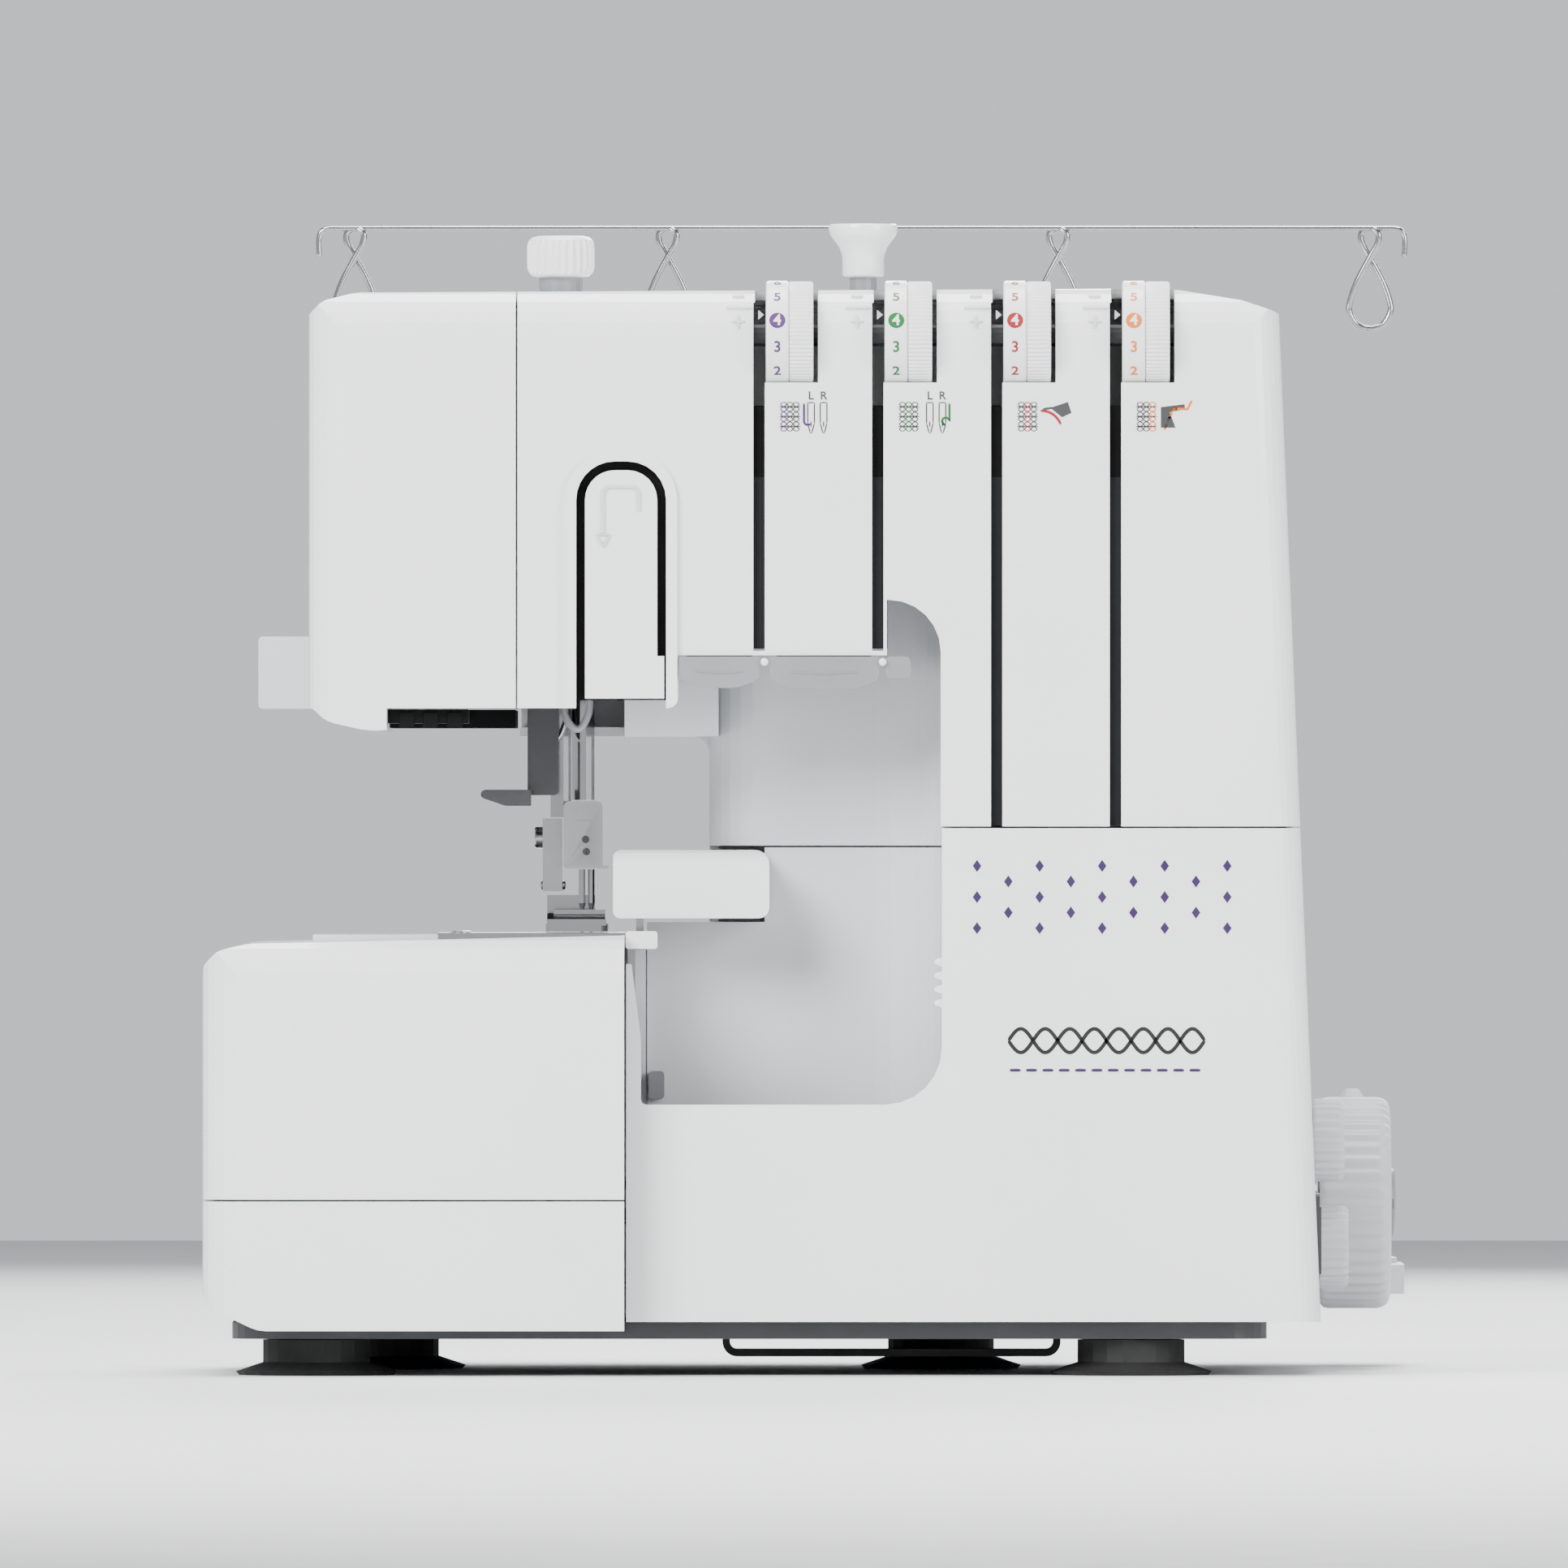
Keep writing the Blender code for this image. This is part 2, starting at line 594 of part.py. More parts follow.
PLATE_LEFT = CLOTH_RIGHT - 0.0506   # needle plate
PLATE_FRONT = NEEDLE_Y - 0.030
PLATE_THICKNESS = 0.0020
CLOTH_PIVOT_INSET = 0.0040          # the cloth plate turns about its rounded rear left corner
CLOTH_PIVOT_X = LEFT_END + CLOTH_PIVOT_INSET
CLOTH_PIVOT_Y = COVER_SPLIT - SEAM - CLOTH_PIVOT_INSET


def left_block(thickness):
    """Outer form of the cloth plate and the lower left cover, or their hollow"""
    front_view = (
        (LEFT_END + 0.0150, BASE_BOTTOM + 0.0024, 0.010),
        (CLOTH_RIGHT + (FAR if thickness else 0), BASE_BOTTOM + 0.0024, 0),
        (CLOTH_RIGHT + (FAR if thickness else 0), BED_HEIGHT - 0.0006, 0),
        (LEFT_END + 0.0127, BED_HEIGHT - 0.0028, 0.010),
        (LEFT_END + 0.0042, BED_HEIGHT - 0.0046, 0.006),
        (LEFT_END, BED_HEIGHT - 0.0089, 0.004),
        (LEFT_END, BASE_BOTTOM + 0.0095, 0.006),
    )
    side_view = (
        (CLOTH_FRONT, -FAR, 0),
        (CASING_REAR - 0.0003, -FAR, 0),
        (CASING_REAR - 0.0003, BED_HEIGHT, 0.010),
        (CLOTH_FRONT, BED_HEIGHT, 0.014),
    )
    top_view = (
        (LEFT_END, CLOTH_FRONT, 0.012),
        (CLOTH_RIGHT + 2 * FAR, CLOTH_FRONT, 0),
        (CLOTH_RIGHT + 2 * FAR, CASING_REAR, 0),
        (LEFT_END, CASING_REAR, 0.012),
    )
    body = prism(rounded(inset(front_view, thickness)), "y", CLOTH_FRONT - FAR, CASING_REAR + FAR)
    keep(body, prism(rounded(inset(side_view, thickness)), "x", LEFT_END - FAR, CLOTH_RIGHT + 3 * FAR))
    return keep(body, prism(rounded(inset(top_view, thickness)), "z", -FAR, BED_HEIGHT + FAR))


def cloth_plate():
    rear = COVER_SPLIT - SEAM
    plan = (
        (LEFT_END - FIT, CLOTH_FRONT - FAR, 0),
        (CLOTH_RIGHT + FAR, CLOTH_FRONT - FAR, 0),
        (CLOTH_RIGHT + FAR, rear, 0),
        (LEFT_END - FIT, rear, CLOTH_PIVOT_INSET + FIT),
    )
    body = keep(left_block(0), prism(rounded(plan), "z", CLOTH_SEAM + SEAM / 2, BED_HEIGHT + FAR))
    cut(body, left_block(WALL))
    cut(body, box(PLATE_LEFT - FIT, CLOTH_RIGHT + FAR, PLATE_FRONT - FIT, rear + FAR,
                  BED_HEIGHT - 0.010, BED_HEIGHT + FAR))
    return finish("cloth_plate", body, "white_plastic", (CLOTH_PIVOT_X, CLOTH_PIVOT_Y, CLOTH_SEAM))


def base_left_cover():
    rear = COVER_SPLIT - SEAM
    body = keep(left_block(0), box(LEFT_END - FAR, CLOTH_RIGHT + FAR, CLOTH_FRONT - FAR, rear,
                                   -FAR, CLOTH_SEAM - SEAM / 2))
    cut(body, left_block(WALL))
    cut(body, box(BASE_LEFT - FIT, CLOTH_RIGHT + FAR, BASE_FRONT - FIT, rear + FAR, -FAR, BASE_TOP + WALL))
    return finish("base_left_cover", body, "white_plastic")


BAY_ARC = 0.018
THROAT_ARC = 0.015


def throat_strip(low, high):
    """Right wall and floor of the recess, turning back beside the window, as one bent sheet"""
    left = WINDOW_RIGHT
    right = BAY_RIGHT + FIT
    front = CASING_FRONT + WALL + FIT
    rear = COVER_SPLIT - SEAM
    outline = (
        (right, front, 0),
        (right + WALL, front, 0),
        (right + WALL, BAY_FLOOR + WALL, BAY_ARC + WALL),
        (left + WALL, BAY_FLOOR + WALL, THROAT_ARC - WALL),
        (left + WALL, rear, 0),
        (left, rear, 0),
        (left, BAY_FLOOR, THROAT_ARC),
        (right, BAY_FLOOR, BAY_ARC),
    )
    return prism(rounded(outline), "z", low, high)


def upper_throat_wall():
    body = throat_strip(THROAT_SEAM + SEAM / 2, BAY_TOP + 0.0008)
    underside = (
        (CLOTH_RIGHT, ARM_BOTTOM, 0),
        (WINDOW_RIGHT, ARM_BOTTOM, 0.0048),
        (WINDOW_RIGHT, THROAT_SEAM + SEAM / 2, 0),
        (WINDOW_RIGHT + WALL, THROAT_SEAM + SEAM / 2, 0),
        (WINDOW_RIGHT + WALL, ARM_BOTTOM + WALL, 0.0048 + WALL),
        (CLOTH_RIGHT, ARM_BOTTOM + WALL, 0),
    )
    arm_front = CASING_FRONT + 0.024
    join(body, prism(rounded(underside), "y", BAY_FLOOR + THROAT_ARC, COVER_SPLIT - SEAM))
    arm_floor = box(CLOTH_RIGHT, WINDOW_RIGHT + WALL, arm_front, BAY_FLOOR + THROAT_ARC + 0.001,
                    ARM_BOTTOM, ARM_BOTTOM + WALL)
    arm_face = box(CLOTH_RIGHT, WINDOW_RIGHT + WALL, arm_front, arm_front + WALL, ARM_BOTTOM, FLAP_BOTTOM + 0.006)
    arm_side = box(WINDOW_RIGHT, WINDOW_RIGHT + WALL, arm_front, BAY_FLOOR + THROAT_ARC + 0.001,
                   ARM_BOTTOM, FLAP_BOTTOM + 0.006)
    join(body, arm_floor, arm_face, arm_side)
    return finish("upper_throat_wall", body, "white_plastic")


LOWER_WALL_LEFT = COVER_LEFT + 0.0055


def lower_throat_wall():
    low = BAY_BOTTOM - 0.012
    body = throat_strip(low, THROAT_SEAM - SEAM / 2)
    step = BED_HEIGHT + 0.0029
    cut(body, box(WINDOW_RIGHT - FAR, WINDOW_RIGHT + THROAT_ARC, BAY_FLOOR - FAR, COVER_SPLIT + FAR,
                  step, THROAT_SEAM + FAR))
    join(body, box(LOWER_WALL_LEFT, WINDOW_RIGHT + THROAT_ARC + 0.002, BAY_FLOOR, BAY_FLOOR + WALL, low, step))
    return finish("lower_throat_wall", body, "white_plastic")


KNIFE_COVER_LEFT = CLOTH_RIGHT - 0.0031
KNIFE_COVER_RIGHT = KNIFE_COVER_LEFT + 0.0423
KNIFE_COVER_BOTTOM = BED_HEIGHT + 0.0040
KNIFE_COVER_TOP = KNIFE_COVER_BOTTOM + 0.0185
KNIFE_COVER_FRONT = BAY_FLOOR - 0.027


def knife_cover():
    """A box round the arm of the upper knife, open below and behind"""
    rear = BAY_FLOOR - FIT
    corners = (
        (KNIFE_COVER_LEFT, KNIFE_COVER_BOTTOM, 0.002),
        (KNIFE_COVER_RIGHT, KNIFE_COVER_BOTTOM, 0.003),
        (KNIFE_COVER_RIGHT, KNIFE_COVER_TOP, 0.004),
        (KNIFE_COVER_LEFT, KNIFE_COVER_TOP, 0.002),
    )
    body = prism(rounded(corners), "y", KNIFE_COVER_FRONT, rear)
    side = (
        (KNIFE_COVER_FRONT, KNIFE_COVER_BOTTOM - FAR, 0),
        (rear + FAR, KNIFE_COVER_BOTTOM - FAR, 0),
        (rear + FAR, KNIFE_COVER_TOP, 0),
        (KNIFE_COVER_FRONT, KNIFE_COVER_TOP, 0.006),
    )
    keep(body, prism(rounded(side), "x", KNIFE_COVER_LEFT - FAR, KNIFE_COVER_RIGHT + FAR))
    cut(body, box(KNIFE_COVER_LEFT + WALL, KNIFE_COVER_RIGHT - WALL, KNIFE_COVER_FRONT + 0.004, rear + FAR,
                  KNIFE_COVER_BOTTOM - FAR, KNIFE_COVER_TOP - WALL))
    return finish("knife_cover", body, "white_plastic")


def takeup_cover():
    """The tongue between the two thread slots of the head"""
    wide = TONGUE_RIGHT + TONGUE_SLOT - SEAM
    corners = (
        (TONGUE_LEFT, HEAD_BOTTOM + 0.0026, 0),
        (wide, HEAD_BOTTOM + 0.0026, 0),
        (wide, FLAP_BOTTOM - 0.0002, 0),
        (TONGUE_RIGHT, FLAP_BOTTOM - 0.0002, 0),
        (TONGUE_RIGHT, TONGUE_TOP, TONGUE_ARC),
        (TONGUE_LEFT, TONGUE_TOP, TONGUE_ARC),
    )
    body = prism(rounded(corners), "y", CASING_FRONT - SADDLE_HEIGHT, CASING_FRONT + WALL)
    return finish("takeup_cover", body, "white_plastic")


# ---- Base, feet and frame ---------------------------------------------------------------------------
BASE_LEFT = LEFT_END + 0.0077
BASE_RIGHT = CASING_RIGHT - 0.0145
BASE_FRONT = CASING_FRONT + 0.008
FOOT_FLARE = 0.0221
FOOT_POST = 0.01465
FRONT_FEET_Y = CASING_FRONT + 0.025
REAR_FEET_Y = CASING_REAR - 0.022
RAIL_LEFT = WINDOW_RIGHT + 0.0035
RAIL_LENGTH = 0.092


def base_plate():
    body = slab("z", BASE_LEFT, BASE_RIGHT, BASE_FRONT, CASING_REAR - 0.002, BASE_BOTTOM, BASE_TOP, 0.012)
    return finish("base_plate", body, "dark_plastic")


def feet():
    places = (
        ("foot_front_left", LEFT_END + 0.0305, FRONT_FEET_Y),
        ("foot_front_right", CASING_RIGHT - 0.0512, FRONT_FEET_Y),
        ("foot_rear_left", LEFT_END + 0.0481, REAR_FEET_Y),
        ("foot_rear_right", CASING_RIGHT - 0.1022, REAR_FEET_Y),
    )
    profile = (
        (FOOT_FLARE - 0.0010, 0.0),
        (FOOT_FLARE, 0.0010),
        (FOOT_POST, 0.0035),
        (FOOT_POST, BASE_BOTTOM - FIT),
    )
    for name, x, y in places:
        finish(name, turned(profile, "z", (x, y), 20), "rubber")


def under_rail():
    right = RAIL_LEFT + RAIL_LENGTH
    low = 0.0042
    top = BASE_BOTTOM - FIT
    thickness = 0.0020
    outline = (
        (RAIL_LEFT, top, 0),
        (RAIL_LEFT, low, 0.004),
        (right, low, 0.004),
        (right, top, 0),
        (right - thickness, top, 0),
        (right - thickness, low + thickness, 0.002),
        (RAIL_LEFT + thickness, low + thickness, 0.002),
        (RAIL_LEFT + thickness, top, 0),
    )
    middle = (FRONT_FEET_Y + REAR_FEET_Y) / 2
    body = prism(rounded(outline), "y", middle - 0.008, middle + 0.008)
    return finish("under_rail", body, "dark_plastic")


FRAME_Y_LOW = SHAFT_Y - 0.018
FRAME_Y_HIGH = SHAFT_Y + 0.018
BRACKET_WIDTH = 0.008
LEFT_BRACKET = HEAD_LEFT + 0.030
RIGHT_BRACKET = CASING_RIGHT - 0.038
POST_LEFT = BAY_RIGHT + 0.014
ARM_LOW = HEAD_BOTTOM + 0.030
ARM_HIGH = ARM_LOW + 0.026
GUIDE_LOW = HEAD_BOTTOM + 0.004
GUIDE_TOP = ARM_HIGH + 0.004


def cast_frame():
    """Bed with shaft brackets, post and arm, and at its left end the guide for needle and presser bars"""
    bed_top = BASE_TOP + FIT + 0.009
    body = box(LEFT_BRACKET - 0.005, RIGHT_BRACKET + BRACKET_WIDTH, FRAME_Y_LOW - 0.020, FRAME_Y_HIGH + 0.010,
               BASE_TOP + FIT, bed_top)
    bracket_top = SHAFT_Z + SHAFT_RADIUS + 0.008
    for x in (LEFT_BRACKET, RIGHT_BRACKET):
        join(body, box(x, x + BRACKET_WIDTH, SHAFT_Y - 0.014, SHAFT_Y + 0.014, bed_top - 0.001, bracket_top))
    post = box(POST_LEFT, POST_LEFT + 0.016, SHAFT_Y + SHAFT_RADIUS + 0.002, FRAME_Y_HIGH, bed_top - 0.001, ARM_HIGH)
    arm = box(PRESSER_X + 0.010, POST_LEFT + 0.015, SHAFT_Y + SHAFT_RADIUS + 0.003, FRAME_Y_HIGH - 0.001,
              ARM_LOW, ARM_HIGH - 0.001)
    neck = box(PRESSER_X - 0.010, NEEDLE_X + 0.008, PRESSER_Y + 0.006, FRAME_Y_HIGH - 0.002, ARM_LOW + 0.001,
               ARM_HIGH - 0.002)
    guide = box(PRESSER_X - 0.009, NEEDLE_X + 0.007, NEEDLE_Y - 0.010, PRESSER_Y + 0.010, GUIDE_LOW, GUIDE_TOP)
    join(body, post, arm, neck, guide)
    cut(body, box(PRESSER_X - 0.02, NEEDLE_X + 0.02, NEEDLE_Y - 0.02, PRESSER_Y + 0.0055,
                  GUIDE_LOW + 0.008, GUIDE_TOP - 0.010))
    cut(body, rod("z", (BAR_X, NEEDLE_Y), NEEDLE_BAR_RADIUS + FIT, GUIDE_LOW - FAR, GUIDE_TOP + FAR))
    cut(body, rod("z", (PRESSER_X, PRESSER_Y), PRESSER_BAR_RADIUS + FIT, GUIDE_LOW - FAR, GUIDE_TOP + FAR))
    cut(body, rod("x", (SHAFT_Y, SHAFT_Z), SHAFT_RADIUS + FIT, LEFT_BRACKET - FAR, RIGHT_BRACKET + FAR))
    looper_bracket = box(LOWER_PIVOT_X - 0.008, LOWER_PIVOT_X + 0.008, FRAME_Y_LOW, FRAME_Y_LOW + 0.008,
                         bed_top - 0.001, LOWER_PIVOT_Z + 0.008)
    join(body, looper_bracket)
    cut(body, rod("y", (LOWER_PIVOT_X, LOWER_PIVOT_Z), LOOPER_AXLE_RADIUS + FIT, FRAME_Y_LOW - FAR,
                  SHAFT_Y - SHAFT_RADIUS - FIT))
    cut(body, rod("y", (LEVER_PIVOT_X, LEVER_PIVOT_Z), LEVER_AXLE_RADIUS + FIT, FRAME_Y_HIGH - 0.013,
                  FRAME_Y_HIGH + FAR))
    return finish("cast_frame", body, "cast_aluminium")


# ---- Thread path ------------------------------------------------------------------------------------
def tension_frame():
    """Plate behind the slots, with lugs that carry one spindle through the four dials"""
    plate_y = CASING_FRONT + 0.0185
    left = slot_left(0) - 0.006
    right = dial_left(DIAL_COUNT - 1) + DIAL_WIDTH + 0.0125 - WALL
    dial_back = DIAL_Z - DIAL_RADIUS - 0.004
    body = box(left, right, plate_y, plate_y + 0.002, BAY_TOP + 0.002, dial_back)
    join(body, box(BAY_RIGHT + 2 * WALL, right, plate_y, plate_y + 0.002, FRONT_SEAM + 0.002, BAY_TOP + 0.003))
    lug_top = DIAL_Z + SPINDLE_RADIUS + 0.0015
    lug_front = DIAL_Y - 0.0070 + WALL  # stays behind the rounded edge of the cover
    for index in range(DIAL_COUNT):
        lug_left = dial_left(index) + FIT + DIAL_WIDTH + DIAL_SIDE_GAP + 0.002
        join(body, box(lug_left, lug_left + 0.003, lug_front, plate_y + 0.002, dial_back - 0.004, lug_top))
    first_lug = slot_left(0) - 0.004
    join(body, box(first_lug, first_lug + 0.003, lug_front, plate_y + 0.002, dial_back - 0.004, lug_top))
    join(body, rod("x", (DIAL_Y, DIAL_Z), SPINDLE_RADIUS, first_lug, right - 0.0032, 12))
    return finish("tension_frame", body, "dark_plastic")


def tension_dials():
    """Each dial has a smooth band for the numbers and a grooved half for the finger"""
    band = 0.0062
    for index in range(DIAL_COUNT):
        left = dial_left(index) + FIT
        body = turned((
            (DIAL_RADIUS - 0.0005, left),
            (DIAL_RADIUS, left + 0.0005),
            (DIAL_RADIUS, left + band),
            (DIAL_RADIUS - 0.0008, left + band),
            (DIAL_RADIUS - 0.0008, left + DIAL_WIDTH),
        ), "x", (DIAL_Y, DIAL_Z), 32)
        cut(body, rod("x", (DIAL_Y, DIAL_Z), SPINDLE_RADIUS + FIT, left - 0.01, left + 0.03, 12))
        finish("tension_dial_%d" % (index + 1), body, "white_plastic", (left, DIAL_Y, DIAL_Z))


GUIDE_PLATE_Y = CASING_FRONT - 0.0010


def guide_plate(name, left, right, drop):
    """A grey lip below the front cover, with a tongue that clips up behind it"""
    top = FLAP_BOTTOM - FIT
    corners = (
        (left, top - drop * 0.72, 0.002),
        (left + 0.006, top - drop, 0.010),
        (right - 0.006, top - drop, 0.010),
        (right, top - drop * 0.72, 0.002),
        (right, top, 0),
        (left, top, 0),
    )
    body = prism(rounded(corners), "y", GUIDE_PLATE_Y, CASING_FRONT + 0.006)
    clip = box(left + 0.002, right - 0.002, CASING_FRONT + WALL + FIT, CASING_FRONT + 0.0055,
               top - drop * 0.5, FLAP_BOTTOM + 0.005)
    join(body, clip)
    return finish(name, body, "grey_plastic")


def guide_plates():
    guide_plate("thread_guide_left", FLAP_LEFT + FIT, slot_left(0) + 0.0017, 0.0085)
    guide_plate("thread_guide_middle", dial_left(0) + 0.0012, slot_left(1) + 0.0018, 0.0088)
    left = dial_left(1) + 0.0004
    plate_low = FLAP_BOTTOM - 0.0063
    body = slab("y", left, left + 0.0069, plate_low, FLAP_BOTTOM - FIT,
                CASING_FRONT - 0.001, BAY_FLOOR - 0.013, 0.0015)
    finish("thread_guide_right", body, "grey_plastic")


def pressure_regulator():
    stem_top = CASING_HEIGHT + 0.0035
    stem = rod("z", (PRESSER_X, PRESSER_Y), STEM_RADIUS, GUIDE_TOP + 0.012, stem_top, 20)
    cut(stem, rod("z", (PRESSER_X, PRESSER_Y), PRESSER_BAR_RADIUS + 3 * FIT, GUIDE_TOP, GUIDE_TOP + 0.024))
    finish("pressure_stem", stem, "pale_grey_plastic")
    low = stem_top + FIT
    knob = fluted("z", (PRESSER_X, PRESSER_Y), KNOB_RADIUS, 0.0006, 20, low, low + 0.0112)
    finish("pressure_knob", knob, "white_plastic", (PRESSER_X, PRESSER_Y, low))


MAST_TRAVEL = 0.085
MAST_OUTER_LOW = 0.0335
MAST_MIDDLE_RADIUS = MAST_INNER_RADIUS + FIT + TUBE_WALL
MAST_OUTER_RADIUS = MAST_MIDDLE_RADIUS + FIT + TUBE_WALL
HOLDER_LOW = CASING_HEIGHT + 0.0053
HOLDER_TOP = CASING_HEIGHT + 0.0198


def tube(inner, outer, low, high, floor):
    body = rod("z", (MAST_X, MAST_Y), outer, low, high, 16)
    return cut(body, rod("z", (MAST_X, MAST_Y), inner, low + floor, high + FAR, 16))


def mast():
    """Three tubes that slide in each other, and the bell that holds the guide bar"""
    outer_top = CASING_HEIGHT - 0.030
    middle_top = CASING_HEIGHT - 0.012
    middle_low = MAST_OUTER_LOW + 0.006
    inner_low = middle_low + 0.004
    outer = tube(MAST_MIDDLE_RADIUS + FIT, MAST_OUTER_RADIUS, MAST_OUTER_LOW, outer_top, 0.004)
    finish("mast_outer", outer, "steel")
    middle = tube(MAST_INNER_RADIUS + FIT, MAST_MIDDLE_RADIUS, middle_low, middle_top, 0.003)
    finish("mast_middle", middle, "steel", (MAST_X, MAST_Y, middle_low))
    inner = rod("z", (MAST_X, MAST_Y), MAST_INNER_RADIUS, inner_low, HOLDER_LOW - FIT, 16)
    finish("mast_inner", inner, "steel", (MAST_X, MAST_Y, inner_low))
    profile = (
        (0.0059, HOLDER_LOW),
        (0.0060, HOLDER_LOW + 0.0079),
        (0.0068, HOLDER_LOW + 0.0096),
        (0.0094, HOLDER_LOW + 0.0115),
        (0.0096, HOLDER_TOP),
    )
    holder = turned(profile, "z", (MAST_X, MAST_Y), 20)
    cut(holder, rod("x", (MAST_Y, BAR_Z), BAR_RADIUS + FIT, MAST_X - FAR, MAST_X + FAR, 8))
    cut(holder, box(MAST_X - FAR, MAST_X + FAR, MAST_Y - BAR_RADIUS - FIT, MAST_Y + BAR_RADIUS + FIT,
                    BAR_Z, HOLDER_TOP + FAR))
    finish("guide_bar_holder", holder, "white_plastic", (MAST_X, MAST_Y, HOLDER_LOW))


BAR_LEFT = HEAD_LEFT + 0.0017
LOOP_WIDTH = 0.0117
LOOP_DROP = 0.0277


def loop_places():
    """Two loops each side of the mast, the outer ones near the ends of the bar"""
    return (
        BAR_LEFT + 0.0090,
        BAR_LEFT + 0.0948,
        RIGHT_END - 0.0961,
        RIGHT_END - 0.0105,
    )


def thread_loop(x):
    """A drop-shaped loop whose two ends cross and wrap over the bar"""
    half = LOOP_WIDTH / 2
    bottom = BAR_Z - LOOP_DROP
    lower = (
        (0.0, bottom, 0.0),
        (0.70 * half, bottom + 0.0016, 0.0001),
        (half, bottom + 0.0054, 0.0003),
        (0.76 * half, bottom + 0.0115, 0.0007),
        (0.0, bottom + 0.0200, 0.0014),
        (-0.45 * half, bottom + 0.0245, 0.0014),
        (-0.30 * half, bottom + LOOP_DROP, 0.0008),
    )
    right_half = [Vector((x + a, MAST_Y + c, b)) for a, b, c in lower]
    left_half = [Vector((x - a, MAST_Y - c, b)) for a, b, c in reversed(lower[1:])]
    return wire(smooth_path(left_half + right_half, 2), WIRE_RADIUS)


def guide_bar():
    body = wire([
        Vector((BAR_LEFT - 0.0003, MAST_Y, BAR_Z - 0.0080)),
        Vector((BAR_LEFT - 0.0011, MAST_Y, BAR_Z - 0.0030)),
        Vector((BAR_LEFT - 0.0006, MAST_Y, BAR_Z - 0.0006)),
        Vector((BAR_LEFT + 0.0012, MAST_Y, BAR_Z)),
        Vector((RIGHT_END - 0.0030, MAST_Y, BAR_Z)),
        Vector((RIGHT_END - 0.0012, MAST_Y, BAR_Z - 0.0006)),
        Vector((RIGHT_END - 0.0008, MAST_Y, BAR_Z - 0.0030)),
        Vector((RIGHT_END - 0.0016, MAST_Y, BAR_Z - 0.0080)),
    ], BAR_RADIUS)
    for x in loop_places():
        join(body, thread_loop(x))
    return finish("guide_bar", body, "steel", (MAST_X, MAST_Y, BAR_Z))


STAND_LOW = 0.0200
STAND_TOP = STAND_LOW + 0.0080
PIN_TOP = STAND_TOP + 0.048


def spool_stand():
    """Tray behind the machine with four spool pins, a boss for the mast and a rim under its edge"""
    left = HEAD_LEFT - 0.010
    front = CASING_REAR + SEAM
    body = slab("z", left, RIGHT_END - 0.0010, front, STAND_REAR, STAND_LOW, STAND_TOP, 0.014)
    cut(body, slab("z", left + WALL, RIGHT_END - 0.0010 - WALL, front + WALL, STAND_REAR - WALL,
                   STAND_LOW - FAR, STAND_TOP - WALL, 0.012))
    mast_boss = rod("z", (MAST_X, MAST_Y), MAST_OUTER_RADIUS + 0.004, STAND_TOP - WALL - 0.001, MAST_OUTER_LOW + 0.012, 16)
    join(body, mast_boss)
    cut(body, rod("z", (MAST_X, MAST_Y), MAST_OUTER_RADIUS + FIT, MAST_OUTER_LOW - FIT, MAST_OUTER_LOW + FAR, 16))
    for x in loop_places():
        pin = turned((
            (0.0130, STAND_TOP - 0.001),
            (0.0130, STAND_TOP + 0.0015),
            (0.0042, STAND_TOP + 0.0040),
            (0.0034, PIN_TOP - 0.0020),
            (0.0020, PIN_TOP),
        ), "z", (x if x < RIGHT_END - 0.02 else RIGHT_END - 0.0150, CASING_REAR + 0.052), 10)
        join(body, pin)
    return finish("spool_stand", body, "pale_grey_plastic")


# ---- Needles and presser ----------------------------------------------------------------------------
BAR_X = NEEDLE_X - 0.0007
CLAMP_LOW = BED_HEIGHT + 0.0175
CLAMP_TOP = CLAMP_LOW + 0.0182
NEEDLE_STROKE = 0.027
NEEDLE_TIP = BED_HEIGHT - 0.0100
FOOT_BOTTOM = BED_HEIGHT + FIT
FOOT_TOP = FOOT_BOTTOM + 0.0099
ANKLE_TOP = BED_HEIGHT + 0.0310
PRESSER_LIFT = 0.006


def needle_side():
    bar = rod("z", (BAR_X, NEEDLE_Y), NEEDLE_BAR_RADIUS, CLAMP_TOP + FIT, GUIDE_TOP + 0.010, 12)
    finish("needle_bar", bar, "chrome", (BAR_X, NEEDLE_Y, CLAMP_TOP))
    left = NEEDLE_X - 0.0060
    corners = (
        (left, CLAMP_LOW, 0.0008),
        (left + 0.0106, CLAMP_LOW, 0.0008),
        (left + 0.0106, CLAMP_TOP, 0.0015),
        (left, CLAMP_TOP, 0.0015),
    )
    clamp = prism(rounded(corners, 2), "y", NEEDLE_Y - 0.0055, NEEDLE_Y + 0.0050)
    for screw_z in (CLAMP_LOW + 0.0078, CLAMP_LOW + 0.0045):
        cut(clamp, rod("y", (left + 0.0062, screw_z), 0.0009, NEEDLE_Y - FAR, NEEDLE_Y - 0.0035, 8))
    finish("needle_clamp", clamp, "steel", (BAR_X, NEEDLE_Y, CLAMP_TOP))
    for name, offset in (("needle_left", -1.0), ("needle_right", 1.0)):
        x = NEEDLE_X + NEEDLE_SPACING * (0.1 + offset / 2)
        body = turned((
            (0.0, NEEDLE_TIP),
            (0.0004, NEEDLE_TIP + 0.0035),
            (0.0004, NEEDLE_TIP + 0.0160),
            (NEEDLE_RADIUS, NEEDLE_TIP + 0.0180),
            (NEEDLE_RADIUS, CLAMP_LOW - FIT),
        ), "z", (x, NEEDLE_Y), 8)
        finish(name, body, "chrome", (x, NEEDLE_Y, CLAMP_LOW))


